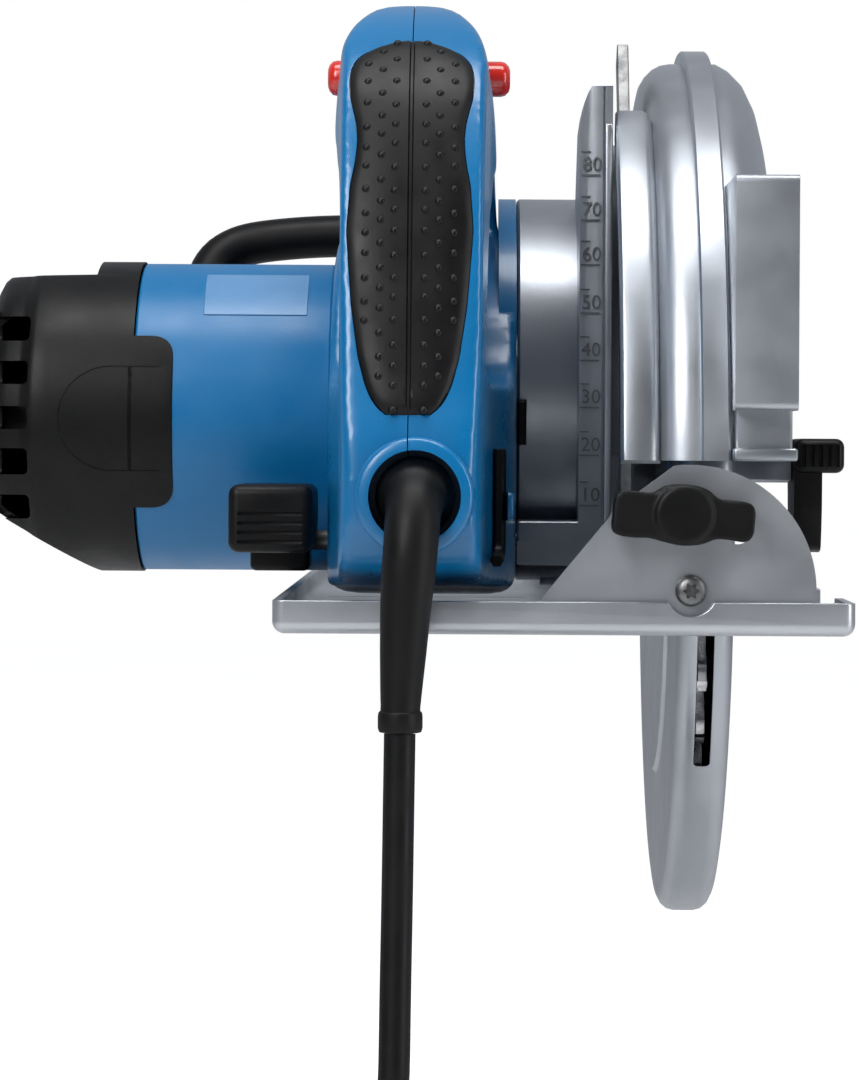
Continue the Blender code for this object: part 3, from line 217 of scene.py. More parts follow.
def baked(obj, recalc=True):
    bpy.context.view_layer.update()
    graph = bpy.context.evaluated_depsgraph_get()
    mesh = bpy.data.meshes.new_from_object(obj.evaluated_get(graph), depsgraph=graph)
    mesh.transform(obj.matrix_world)
    name = obj.name
    bpy.data.objects.remove(obj, do_unlink=True)
    if recalc:
        bm = bmesh.new()
        bm.from_mesh(mesh)
        bmesh.ops.remove_doubles(bm, verts=bm.verts, dist=1e-6)
        bmesh.ops.recalc_face_normals(bm, faces=bm.faces)
        bm.to_mesh(mesh)
        bm.free()
    return made(name, mesh)


def bevelled(obj, width, steps=3, angle=35):
    mod = obj.modifiers.new("round", "BEVEL")
    mod.width = width * M
    mod.segments = steps
    mod.limit_method = "ANGLE"
    mod.angle_limit = radians(angle)
    return baked(obj)


def box(xs, ys, zs, round_by=0.0, steps=3):
    bm = bmesh.new()
    bmesh.ops.create_cube(bm, size=1.0)
    bmesh.ops.scale(bm, vec=Vector((xs[1] - xs[0], ys[1] - ys[0], zs[1] - zs[0])) * M, verts=bm.verts)
    bmesh.ops.translate(bm, vec=Vector((sum(xs), sum(ys), sum(zs))) / 2 * M, verts=bm.verts)
    found = from_bmesh("box", bm)
    return bevelled(found, round_by, steps) if round_by else found


TURN = {"X": Matrix.Rotation(PI / 2, 4, "Y"), "Y": Matrix.Rotation(-PI / 2, 4, "X"), "Z": Matrix.Identity(4)}


def cylinder(axis, centre, radius, a, b, verts=48):
    bm = bmesh.new()
    bmesh.ops.create_cone(bm, cap_ends=True, segments=verts, radius1=radius * M, radius2=radius * M,
        depth=(b - a) * M)
    bmesh.ops.transform(bm, matrix=TURN[axis], verts=bm.verts)
    mid = (a + b) / 2
    place = {"X": (mid, *centre), "Y": (centre[0], mid, centre[1]), "Z": (*centre, mid)}[axis]
    bmesh.ops.translate(bm, vec=Vector(place) * M, verts=bm.verts)
    return from_bmesh("cyl", bm)


def turned(axis, place, profile, steps=96):
    mesh = bpy.data.meshes.new("turned")
    count = len(profile)
    edges = [(i, i + 1) for i in range(count - 1)]
    if all(r > 0.01 for r, _ in profile):
        edges.append((count - 1, 0))
    mesh.from_pydata([(r * M, 0.0, t * M) for r, t in profile], edges, [])
    found = made("turned", mesh)
    screw = found.modifiers.new("turn", "SCREW")
    screw.axis = "Z"
    screw.steps = screw.render_steps = steps
    screw.use_merge_vertices = True
    screw.merge_threshold = 1e-5
    found.matrix_world = Matrix.Translation(Vector(place) * M) @ TURN[axis]
    return baked(found)


def about_blade(profile, steps=96):
    return turned("X", (0, AY, AZ), profile, steps)


def about_motor(profile, steps=96):
    return turned("X", (0, MY, MZ), profile, steps)


def outline(plane, points, a, b, holes=()):
    curve = bpy.data.curves.new("outline", "CURVE")
    curve.dimensions = "2D"
    curve.fill_mode = "BOTH"
    curve.extrude = (b - a) / 2 * M
    for ring in (points, *holes):
        line = curve.splines.new("POLY")
        line.points.add(len(ring) - 1)
        for point, (u, v) in zip(line.points, ring):
            point.co = (u * M, v * M, 0.0, 1.0)
        line.use_cyclic_u = True
    found = bpy.data.objects.new("outline", curve)
    WORK.objects.link(found)
    mid = (a + b) / 2 * M
    found.matrix_world = {"X": Matrix(((0, 0, 1, mid), (1, 0, 0, 0), (0, 1, 0, 0), (0, 0, 0, 1))),
        "Y": Matrix(((1, 0, 0, 0), (0, 0, -1, mid), (0, 1, 0, 0), (0, 0, 0, 1))),
        "Z": Matrix(((1, 0, 0, 0), (0, 1, 0, 0), (0, 0, 1, mid), (0, 0, 0, 1))), }[plane]
    return baked(found)


def wire(points, radius, resolution=6, radii=None):
    curve = bpy.data.curves.new("wire", "CURVE")
    curve.dimensions = "3D"
    curve.bevel_depth = radius * M
    curve.bevel_resolution = resolution
    curve.use_fill_caps = True
    line = curve.splines.new("POLY")
    line.points.add(len(points) - 1)
    for index, (point, place) in enumerate(zip(line.points, points)):
        point.co = (place[0] * M, place[1] * M, place[2] * M, 1.0)
        point.radius = radii[index] if radii else 1.0
    found = bpy.data.objects.new("wire", curve)
    WORK.objects.link(found)
    return baked(found)


def combine(obj, tools, how):
    for tool in tools:
        mod = obj.modifiers.new("bool", "BOOLEAN")
        mod.operation = how
        mod.solver = "EXACT"
        mod.object = tool
        obj = baked(obj)
        bpy.data.objects.remove(tool, do_unlink=True)
    return obj


def cut(obj, *tools):
    return combine(obj, tools, "DIFFERENCE")


def join(obj, *tools):
    return combine(obj, tools, "UNION")


def meet(obj, *tools):
    return combine(obj, tools, "INTERSECT")


def attach(obj, *others):
    """Adds others' meshes to obj's without a Boolean, for raised detail that sinks into it."""
    bm = bmesh.new()
    bm.from_mesh(obj.data)
    for other in others:
        bm.from_mesh(other.data)
        bpy.data.objects.remove(other, do_unlink=True)
    bm.to_mesh(obj.data)
    bm.free()
    return obj


def arc(centre, radius, start, end, count):
    found = []
    for i in range(count + 1):
        t = radians(start + (end - start) * i / count)
        found.append((centre[0] + radius * cos(t), centre[1] + radius * sin(t)))
    return found


def spline(points, count, closed=False):
    """Points on a Catmull-Rom curve through the given ones, evenly spread."""
    pts = [Vector(p) for p in points]
    if closed:
        pts = [pts[-1], *pts, pts[0], pts[1]]
    else:
        pts = [2 * pts[0] - pts[1], *pts, 2 * pts[-1] - pts[-2]]
    fine = []
    for i in range(1, len(pts) - 2):
        p0, p1, p2, p3 = pts[i - 1], pts[i], pts[i + 1], pts[i + 2]
        for k in range(24):
            t = k / 24
            fine.append(0.5 * (2 * p1 + (p2 - p0) * t + (2 * p0 - 5 * p1 + 4 * p2 - p3) * t * t + (3 * p1 - p0 - 3 * p2 + p3) * t ** 3))
    fine.append(pts[-2])
    lengths = [0.0]
    for a, b in zip(fine, fine[1:]):
        lengths.append(lengths[-1] + (b - a).length)
    found, k = [], 0
    steps = count if closed else count - 1
    for i in range(count):
        want = lengths[-1] * i / steps
        while k < len(fine) - 2 and lengths[k + 1] < want:
            k += 1
        gap = lengths[k + 1] - lengths[k]
        found.append(fine[k].lerp(fine[k + 1], (want - lengths[k]) / gap if gap else 0.0))
    return found


def round_outline(points, radius, steps=5):
    """A 2D outline with its corners rounded."""
    found = []
    count = len(points)
    for i in range(count):
        a, b, c = (Vector(points[j % count]) for j in (i - 1, i, i + 1))
        u, w = (a - b), (c - b)
        r = min(radius, u.length * 0.45, w.length * 0.45)
        p, q = b + u.normalized() * r, b + w.normalized() * r
        for k in range(steps + 1):
            t = k / steps
            found.append(tuple((1 - t) ** 2 * p + 2 * (1 - t) * t * b + t * t * q))
    return found


def offset(points, by):
    found = []
    count = len(points)
    for i in range(count):
        a, b, c = (Vector(points[j % count]) for j in (i - 1, i, i + 1))
        first, second = (b - a).normalized(), (c - b).normalized()
        n1, n2 = Vector((-first.y, first.x)), Vector((-second.y, second.x))
        found.append(tuple(b + (n1 + n2) * by / max(0.35, 1 + n1.dot(n2))))
    return found


def finish(obj, name, body, mat, nodes=(), edge=0.0, steps=2, angle=35):
    """Names a piece, gives it its material and fine edges, and puts it on its body."""
    obj.name = name
    obj.data.name = name
    obj.data.materials.clear()
    obj.data.materials.append(MAT[mat])
    if edge:
        mod = obj.modifiers.new("edge", "BEVEL")
        mod.width = edge * M
        mod.segments = steps
        mod.limit_method = "ANGLE"
        mod.angle_limit = radians(angle)
        mod.harden_normals = False
    soft(obj, 42)
    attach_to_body(obj, body)
    if nodes:
        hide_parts(*nodes)
    return obj


def on_saw(obj, name, *rest):
    return finish(obj, name, "saw_body", *rest)


def soft(obj, angle):
    """Smooth shading with sharp edges over an angle."""
    bm = bmesh.new()
    bm.from_mesh(obj.data)
    limit = radians(angle)
    for face in bm.faces:
        face.smooth = True
    for e in bm.edges:
        e.smooth = len(e.link_faces) == 2 and e.calc_face_angle(0.0) < limit
    bm.to_mesh(obj.data)
    bm.free()


def letters(text, size, thick, place, turn):
    """Raised digits, as a mesh."""
    data = bpy.data.curves.new("digits", "FONT")
    data.body = text
    data.size = size * M
    data.extrude = thick * M
    data.align_x = "CENTER"
    data.align_y = "CENTER"
    data.resolution_u = 3
    found = bpy.data.objects.new("digits", data)
    WORK.objects.link(found)
    found.matrix_world = Matrix.Translation(Vector(place) * M) @ turn
    return baked(found)


# ---- cord first ----

CORD_D = 8.8
COIL = Vector((-26.0, -206.0, -203.0))
bend_r, join_at = 48.0, 128.0
start_z = -117.1
route = [Vector((-44.4, -208.0, -25.8)), Vector((-44.6, -208.8, -48.0)), Vector((-44.8, -210.0, -72.0)),
    Vector((-45.1, -212.6, -96.0)), Vector((-45.2, -215.4, start_z))]
for i in range(1, 6):
    a = radians((180 - join_at) * i / 6)
    route.append(Vector((-45.2 - bend_r * (1 - cos(a)), -215.4 - 4.1 * i / 6, start_z - bend_r * sin(a))))
ROWS = (61.2, 52.1, 43.0)
COLS = (-13.5, -4.5, 4.5, 13.5)
SLOTS = [(r, c) for k, c in enumerate(COLS) for r in (ROWS if k % 2 == 0 else ROWS[::-1])]
PER_TURN = 24
total = 11 * 360 + (180 - join_at)
count = int(total / 360 * PER_TURN)
for i in range(count + 1):
    t = total * i / count
    turn, part = int(t // 360), (t % 360) / 360
    r, c = SLOTS[min(turn, 11)]
    if part > 0.72 and turn < 11:
        r2, c2 = SLOTS[turn + 1]
        k = (part - 0.72) / 0.28
        k = k * k * (3 - 2 * k)
        r, c = r + (r2 - r) * k, c + (c2 - c) * k
    a = radians(join_at + t)
    route.append(Vector((COIL.x + r * cos(a), COIL.y + c, -203.2 + r * sin(a))))
PLUG_X, PLUG_Y = COIL.x - 61.2, COIL.y + 13.5
route += [Vector((PLUG_X, PLUG_Y, -218.0)), Vector((PLUG_X, PLUG_Y, -240.0)), Vector((PLUG_X, PLUG_Y, -262.0))]
cord_curve = bpy.data.curves.new("cord", "CURVE")
cord_curve.dimensions = "3D"
cord_curve.bevel_depth = CORD_D / 2 * M
cord_curve.bevel_resolution = 4
cord_curve.use_fill_caps = True
line = cord_curve.splines.new("NURBS")
line.points.add(len(route) - 1)
for point, place in zip(line.points, route):
    point.co = (*(place * M), 1.0)
line.order_u = 3
line.use_endpoint_u = True
line.resolution_u = 4
cord = bpy.data.objects.new("mains_cord", cord_curve)
WORK.objects.link(cord)
cord_curve.materials.append(MAT["rubber"])
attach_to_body(cord, "saw_body")
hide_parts("cord_tube", "cord_coil")


def plug_piece():
    body = turned("Z", (PLUG_X, PLUG_Y, 0), [(0.0, -287.9), (13.8, -287.9), (15.2, -287.2), (15.8, -285.6),
        (15.9, -278.0), (15.6, -271.5), (13.6, -266.4), (10.4, -263.2), (8.4, -261.4), (7.3, -258.6),
        (6.7, -252.0), (6.2, -246.0), (5.9, -242.0), (5.6, -239.6), (4.2, -239.2), (0.0, -239.2)][::-1], 72)
    for k in range(4):
        z = -244.0 - 4.4 * k
        body = cut(body, box((PLUG_X - 8, PLUG_X + 8), (PLUG_Y - 8, PLUG_Y - 4.4 - 0.25 * k),
            (z - 0.9, z + 0.9)), box((PLUG_X - 8, PLUG_X + 8), (PLUG_Y + 4.4 + 0.25 * k, PLUG_Y + 8),
            (z - 3.1, z - 1.3)))
    for side in (-1, 1):
        body = cut(body, box((PLUG_X + side * 15.2 - 1.2, PLUG_X + side * 15.2 + 1.2), (PLUG_Y - 9, PLUG_Y + 9),
            (-284, -273), 0.6))
    on_saw(body, "plug_body", "black", ["plug"], 0.3)
    for side, name in ((-1, "plug_pin_a"), (1, "plug_pin_b")):
        pin = turned("Z", (PLUG_X + 9.5 * side, PLUG_Y, 0), [(0.0, -306.9), (1.4, -306.9), (2.1, -306.2),
            (2.4, -305.0), (2.4, -287.0), (0.0, -287.0)][::-1], 40)
        on_saw(pin, name, "steel", [], 0.0)


plug_piece()

# ---- sleeve and gland ----

GLAND_X, GLAND_Z = -40.9, 37.9
path = [(GLAND_X, -186, GLAND_Z), (GLAND_X, -197, 37.6), (GLAND_X - 0.3, -205, 34), (-41.8, -209, 24),
    (-43.0, -208.8, 8), (-44.0, -208, -12), (-44.3, -208, -20)]
line = spline(path, 48)


def sleeve_radius(z, y):
    if y > -204:
        return 10.9 - 2.9 * max(0.0, min(1.0, (-198 - y) / 4))
    for z0, r0, z1, r1 in ((60, 8.0, 16, 7.3), (16, 7.3, -4, 6.3), (-4, 6.3, -17, 5.5)):
        if z >= z1:
            return r0 + (r1 - r0) * (z0 - z) / (z0 - z1)
    return 5.4


radii = [sleeve_radius(p.z, p.y) / 9.4 for p in line]
sleeve = wire([tuple(p) for p in line], 9.4, 10, radii)
collar = turned("Z", (-44.3, -208, 0), [(0.0, -19.4), (5.0, -19.4), (5.9, -20.0), (6.05, -21.2), (6.05, -24.2),
    (5.7, -25.4), (0.0, -25.4)], 64)
for z in (12.0, 2.0, -8.0):
    notch = turned("Z", (-43.6 if z < 0 else -43.0, -208.4, z),
        [(5.2, -0.6), (14, -0.6), (14, 0.6), (5.2, 0.6)], 48)
    sleeve = cut(sleeve, meet(notch, box((-60, -30), (-203, -195), (z - 2, z + 2))))
on_saw(sleeve, "cord_sleeve_v", "rubber", ["cord_sleeve"], 0.0)
on_saw(collar, "cord_collar", "rubber", [], 0.3)

# ---- base and its quadrants ----

HALF_W, HALF_L, SHEET, RIM = 80.0, 191.5, 2.5, 9.2
plate = box((-HALF_W, HALF_W), (-HALF_L, HALF_L), (0, 40), 3.4, 6)
plate = cut(plate, box((-90, 90), (-200, 200), (RIM, 60)))
plate = cut(plate, box((-HALF_W + SHEET, HALF_W - SHEET), (-HALF_L + SHEET, HALF_L - SHEET), (SHEET, 40), 2.4,
    4))
plate = cut(plate, box((12, 68), (-165, 112), (-5, 5)))
plate = cut(plate, box((64, HALF_W + 5), (-155, -88), (-5, 20)),
    cylinder("Y", (34.8, 12.4), 7.0, -200, -HALF_L + SHEET + 0.2, 48), box((-72, -50), (120, 124), (-5, 5)))
for y in (-120, -60, 0, 60):
    plate = cut(plate, box((-72.0, -8.0), (y - 1.6, y + 1.6), (SHEET - 0.5, SHEET + 2), 0.0))
finish(plate, "sole_plate", "base", "sheet", ["base_plate"], 0.45, 3)

BX, BZ, SLOT_R, WING = 34.8, 12.4, 20.6, -7.0
QY = -188.7
FY = 176.7


def quadrant(y0, y1, f0, f1):
    right = arc((BX, BZ), 34.5, -5, 98, 40)
    ring = [(-7.0, 4.5), (BX + 34.4, 4.5), *right, (14.5, 35.0), (-7.0, 9.0)]
    found = outline("Y", ring, y0, y1)
    low = arc((BX, BZ), SLOT_R - 3.3, 98, 51, 32)
    high = arc((BX, BZ), SLOT_R + 3.3, 51, 98, 32)
    ends = []
    for t in (98, 51):
        a = radians(t)
        ends.append(cylinder("Y", (BX + SLOT_R * cos(a), BZ + SLOT_R * sin(a)), 3.3, y0 - 2, y1 + 2, 40))
    found = cut(found, outline("Y", [*low, *high], y0 - 2, y1 + 2), *ends,
        cylinder("Y", (BX, BZ), 3.2, y0 - 2, y1 + 2, 32))
    return join(found, box((-5, 10), (f0, f1), (2.8, 5.2)))


finish(quadrant(QY, QY + 2.5, QY + 1.9, QY + 22), "quadrant_rear", "base", "sheet", ["rear_quadrant"], 0.4, 3)
finish(quadrant(FY - 2.5, FY, FY - 1, FY + 10), "quadrant_front", "base", "sheet", ["front_quadrant"], 0.4, 3)


def star(centre, radius, wave, count=36):
    """The six-lobed recess of a screw."""
    turns = [2 * PI * i / count for i in range(count)]
    return [(centre[0] + (radius + wave * cos(6 * a)) * cos(a),
        centre[1] + (radius + wave * cos(6 * a)) * sin(a)) for a in turns]


def torx_screw(name, node, seat, way):
    head = [(0.0, 0.0), (2.9, 0.0), (2.9, 15.0), (4.0, 15.0), (4.35, 15.4), (4.3, 16.2), (3.9, 17.0),
        (3.1, 17.6), (1.8, 17.8), (0.0, 17.8)]
    ring = [(r, t * way) for r, t in head]
    found = turned("Y", (BX, seat - 15.0 * way, BZ), ring if way < 0 else ring[::-1], 64)
    a, b = sorted((seat + 1.2 * way, seat + 5 * way))
    return finish(cut(found, outline("Y", star((BX, BZ), 1.85, 0.42, 48), a, b)), name, "base", "zinc", [node],
        0.12)


torx_screw("torx_rear", "rear_pivot_screw", QY - GAP, -1)
torx_screw("torx_front", "front_pivot_screw", FY + GAP, 1)

# ---- tilting frame ----

WX = BX + SLOT_R * sin(radians(WING))
WZ = BZ + SLOT_R * cos(radians(WING))
DY, DZ = 150.0, 25.0
AY, AZ = -36.0, 35.0


def tilt_plate(y0, y1, left):
    ring = [*arc((BX, BZ), 9.0, -120, 0, 20), *arc((BX, WZ), 9.0, 0, 120, 20), (left + 4, 32.0), (left, 27.0),
        (left, 13.0), (left + 6, 8.0)]
    return cut(outline("Y", ring, y0, y1), cylinder("Y", (BX, BZ), 3.2, y0 - 2, y1 + 2, 32),
        cylinder("Y", (WX, WZ), 3.3, y0 - 2, y1 + 2, 32))


b0 = QY + 2.5 + GAP
rear = join(tilt_plate(b0, b0 + 4.0, 14.0), box((14.0, 17.9), (b0 + 3, DY - 260.5), (8.0, 20.0)))
finish(rear, "bracket_rear", "tilt_frame", "zinc", ["rear_bracket"], 0.4, 3)
bar = [*arc((DY, DZ), 266.0, 145.6, 183.0, 96), *arc((DY, DZ), 256.0, 183.0, 145.6, 96)]
arc_bar = outline("X", bar, 18.2, 21.7)
finish(arc_bar, "depth_arc_v", "tilt_frame", "zinc", ["depth_arc"], 0.35, 2)
f1 = FY - 2.5 - GAP
lug = outline("X", [(f1 - 2, 14.0), (f1 - 2, 34.0), *arc((DY, DZ), 9.0, 90, 270, 32)], -2.0, 20.0)
lug = cut(lug, box((1.8, 16.2), (DY - 20, DY + 10.2), (0, 50)))
front = join(tilt_plate(f1 - 4.0, f1, -2.0), lug)
front = cut(front, cylinder("X", (DY, DZ), 4.3, -10, 30, 40))
finish(front, "bracket_front", "tilt_frame", "zinc", ["front_bracket"], 0.4, 3)
finish(turned("X", (0, DY, DZ), [(0.0, 22.6), (5.4, 22.6), (6.0, 22.0), (6.0, 20.3), (4.0, 20.3), (4.0, -4.4),
    (3.4, -5.0), (0.0, -5.0)], 64), "pivot_pin", "tilt_frame", "steel", ["depth_pivot_pin"], 0.15)


def wing_knob(name, node, body, seat, way):
    """Two lobes, a raised hub and a stud."""
    lobe = [(-19.2, -5.9), (-17.6, -7.6), (-13.0, -7.9), (-9.0, -7.6), (-5.5, -8.2), (0, -8.9), (5.5, -8.0),
        (9.0, -6.2), (13.0, -6.0), (17.2, -6.2), (19.1, -4.2), (19.3, 0.0), (19.0, 3.4), (17.2, 5.1),
        (13.0, 5.3), (9.0, 5.4), (5.5, 7.8), (0, 8.7), (-5.5, 7.8), (-9.0, 5.4), (-13.0, 5.3), (-17.4, 5.1),
        (-19.1, 3.2), (-19.3, -1.0)]
    pts = [tuple(p.to_2d()) for p in spline([(WX + u * 0.995 + v * 0.09, WZ + 0.6 + v * 0.95 - u * 0.09,
        0) for u, v in lobe], 96, True)]
    a, b = sorted((seat + 3.4 * way, seat + 12.4 * way))
    knob = bevelled(outline("Y", pts, a, b), 2.2, 4, 40)
    knob = join(knob, cylinder("Y", (WX, WZ + 0.6), 7.8, *sorted((seat + 3.4 * way, seat + 13.6 * way)), 48))
    mod = knob.modifiers.new("soft", "REMESH")
    mod.mode = "VOXEL"
    mod.voxel_size = 0.55 * M
    knob = baked(knob)
    mod = knob.modifiers.new("smooth", "SMOOTH")
    mod.iterations = 7
    mod.factor = 0.5
    knob = baked(knob)
    a, b = sorted((seat + 0.3 * way, seat + 5.0 * way))
    knob = join(knob, cylinder("Y", (WX, WZ), 6.9, a, b, 48))
    a, b = sorted((seat + 3.0 * way, seat - 9.0 * way))
    knob = join(knob, cylinder("Y", (WX, WZ), 3.0, a, b, 32))
    return finish(knob, name, body, "black", [node], 0.25)


wing_knob("wing_knob_rear", "rear_wing_bolt", "rear_wing_bolt", QY, -1)
wing_knob("wing_knob_front", "front_wing_bolt", "front_wing_bolt", FY, 1)

# ---- upper guard ----

X0, X1, R, BLX = 25.6, 62.4, 137.0, 41.0
STEPS = 144
profile = [(0.0, X1 - 0.3), (60.0, X1 - 0.1), (R - 26, X1), (R - 19, X1 - 0.6), (R - 12, X1 - 2.4),
    (R - 6, X1 - 5.4), (R - 2, X1 - 9.4), (R, X1 - 13.0), (R, BLX + 5.4), (R + 3.4, BLX + 5.4),
    (R + 4, BLX + 4.8), (R + 4, BLX - 2.0), (R + 3.4, BLX - 2.6), (R, BLX - 2.6), (R, 35.4), (R - 0.5, 32.4),
    (R - 1.8, 30.0), (R - 4.0, 27.8), (R - 6.6, 26.3), (R - 9.4, 25.7), (R - 12, X0), (0.0, X0)]
guard = about_blade(profile, STEPS)
inner = [(0.0, X1 - 2.6), (R - 25, X1 - 2.6), (R - 11, X1 - 6.0), (R - 3, X1 - 15.0), (R - 3, X0 + 9.4),
    (R - 12, X0 + 3.2), (0.0, X0 + 3.2)]
guard = cut(guard, box((0, 90), (-250, 200), (-200, 48.0)))
rim = about_blade([(R - 11, 16.4), (R - 2.0, 16.4), (R - 1.2, 17.0), (R - 1.0, 17.8), (R - 1.0, 24.4),
    (R - 1.8, 25.8), (R - 4.6, 27.2), (R - 11, 27.6)], STEPS)
wedge = [(AY, AZ), *[(AY + 170 * cos(radians(a)), AZ + 170 * sin(radians(a))) for a in (121, 140, 158, 174.5)]]
guard = join(guard, meet(rim, outline("X", wedge, 10, 30)))
OX0, OX1 = 46.9, 64.4
tail = outline("X", round_outline([(-186, 62), (-186, 127), (-120, 127), (-120, 62)], 2.2), OX0, OX1)
tail = bevelled(tail, 1.2, 4, 40)
guard = join(guard, tail, box((OX0 + 0.6, OX1 - 0.8), (-176, -120), (50, 66), 1.0),
    box((OX0, OX1 + 0.4), (-180, -120), (48, 51.6), 0.9))
arm = outline("X", [(40, 58), (62, 40), (110, 14), *arc((DY, DZ), 9.0, -90, 90, 24), (118, 46), (88, 98),
    (40, 112)], 2.4, 15.6)
web = outline("X", [(46, 60), (62, 49), (88, 49), (86, 84), (62, 104), (46, 104)], 14.0, X0 + 2)
guard = join(guard, arm, web)
guard = cut(guard, about_blade(inner, STEPS))
guard = cut(guard, box((OX0 + 2.4, OX1 - 2.4), (-183.0, -128), (68, 122), 1.0),
    box((OX0 + 2.4, OX1 - 2.4), (-173.4, -128), (40, 72)), cylinder("X", (DY, DZ), 4.3, -10, 30, 40),
    outline("X", [*arc((AY, AZ), 112.5, 62, 180, 72), *arc((AY, AZ), 91.0, 180, 62, 72)], X1 - 5.6, X1 + 8),
    cylinder("X", (AY, AZ), 28.0, 0, X0 + 3.8, 72))
on_saw(guard, "guard_upper", "cast", ["upper_guard"], 0.7, 3, 30)

# ---- gear case and depth scale ----

GZ, GR = 69.6, 60.0
case = turned("X", (0, AY, GZ), [(0.0, 13.2), (GR - 5, 13.2), (GR - 2.2, 12.6), (GR - 0.6, 11.0), (GR, 8.6),
    (GR, -11.2), (GR - 0.8, -12.0), (0.0, -12.0)], 160)
boss = cylinder("X", (AY, AZ), 27.0, -4.0, X0 - 1.0, 72)
nose = cylinder("X", (AY, AZ), 19.0, 20.0, 35.0, 64)
case = join(case, boss, nose)
scale_ring = [(-111.6, 26), (-60, 40), (-50, 100), (-58, 128), (-80, 148), (-100, 162.4), (-105, 163.4),
    (-109, 162.4), (-111.6, 158.4)]
plate = outline("X", scale_ring, 6.0, 15.6)
plate = meet(plate, outline("Y", [(6.0, 20), (15.6, 20), (15.6, 162.0), (14.0, 161.9), (12.4, 161.2),
    (10.8, 160.0), (9.4, 158.3), (8.2, 156.2), (7.2, 153.6), (6.5, 150.4), (6.0, 146.4)], -120, 0))
fill = outline("X", [(-92, 50), (-60, 50), (-52, 100), (-60, 130), (-72, 144), (-88, 100)], 14.0, 25.2)
case = join(case, plate, fill)
low = box((-12.0, 15.6), (-110, -76), (16.5, 29.6), 0.8, 3)
low = cut(low, box((-20, 20), (-112, -108), (0, 23.6)))
case = join(case, low)
chamber = outline("X", [*arc((AY, GZ), GR - 5, 20, 160, 48), *arc((AY, AZ), 23.0, 180, 360, 32)], -14, 9.0)
case = cut(case, chamber, cylinder("X", (AY, AZ), 15.3, -10, 24.3, 48),
    cylinder("X", (AY, AZ), 9.0, 20, 60, 40), cylinder("X", (-100, 23.4), 3.4, -40, 40, 32),
    box((-12.2, -9.2), (-110, -78), (52.1, 65.7)), box((12.7, 13.3), (-118, -110.4), (30, 158)))
on_saw(case, "gear_case_v", "cast", ["gear_case"], 0.6, 3, 30)

FACE = -111.6
UP = Matrix.Rotation(PI / 2, 4, "X")
PX = 3.387
MARKS = ((10, 494.5), (20, 444.3), (30, 396.4), (40, 349.4), (50, 302.0), (60, 253.8), (70, 209.0), (80, 164.0))
marks = []
for value, row in MARKS:
    z = 51.7 - (row - 446) / PX
    marks.append(box((6.3, 11.9), (FACE - 0.55, FACE + 0.3), (z - 3.3, z - 2.8)))
    marks.append(letters(str(value), 5.9, 0.6, (9.5, FACE, z), UP))
    marks.append(box((6.3, 9.0), (FACE - 0.5, FACE + 0.3), (z + 3.7, z + 4.1)))
digits = attach(marks[0], *marks[1:])
# The digits and ticks get the darker marks material, which is painted shade around the raised figures.
on_saw(digits, "depth_marks_painted_shade", "marks", [], 0.0)
channel = box((13.3, 15.5), (FACE - 1.6, FACE + 0.4), (28, 147), 0.5)
on_saw(channel, "scale_rail", "sheet", [], 0.0)

# ---- motor and its cap ----

MY, MZ, MR = -36.0, 60.4, 48.2
barrel = about_motor([(MR - 0.5, -68.5), (MR, -69.2), (MR, -127.8), (MR - 0.6, -128.4), (MR - 3, -128.4),
    (MR - 3, -68.5)], 192)
on_saw(barrel, "motor_barrel", "blue_grain", ["motor_housing"], 0.2)
CX = -173.7
ring = [(0.0, CX), (37.0, CX), (40.0, CX + 0.6), (42.6, CX + 2.0), (44.4, CX + 4.2), (45.4, CX + 7.0),
    (46.0, CX + 10.0), (46.3, CX + 11.4), (48.0, CX + 13.4), (48.5, CX + 15.4), (48.7, CX + 19.0),
    (48.75, -128.7), (48.3, -128.9), (0.0, -128.9)]
cap = about_motor(ring[::-1], 192)
hollow = about_motor([(0.0, -124.0), (45.4, -124.0), (45.4, -146.0), (44.0, CX + 12), (38.0, CX + 3.0),
    (0.0, CX + 3.0)], 192)


def trims(by):
    """The flat on the cap's top and the slope under it, moved in by a wall."""
    top, low = MZ + MR - 4.4, MZ - MR
    return [outline("Y", [(-200, top - by - 1.4), (-142 + by, top - by), (-139.6 + by, 140), (-200, 140)], -120,
        60), outline("Y", [(-200, low + 35.6 + by), (-200, -30), (-137 + by, -30),
        (-141.5 + by, low - 0.6 + by), (-168.4, low + 16.1 + by)], -120, 60)]


cap = cut(cap, *trims(0.0))
cap = cut(cap, cut(hollow, *trims(2.4)))
tongue = about_motor([(48.25, -130.0), (48.25, -116.4), (48.7, -116.6), (48.75, -117.0), (48.75, -130.0)][::-1],
    192)
tongue = meet(tongue, outline("Y", round_outline([(-142, 32.3), (-116.4, 32.3), (-116.4, 84.7), (-142, 84.7)],
    7, 8), -90, -36))


def inset():
    """A shallow D on the cap's rear."""
    around = about_motor([(48.45, -155.0), (48.45, -118.0), (56.0, -118.0), (56.0, -155.0)][::-1], 192)
    return meet(around, outline("Y", [*arc((-135.1, 59.45), 15.95, 90, 270, 40), (-120.3, 43.5),
        (-120.3, 75.4)], -100, -60))


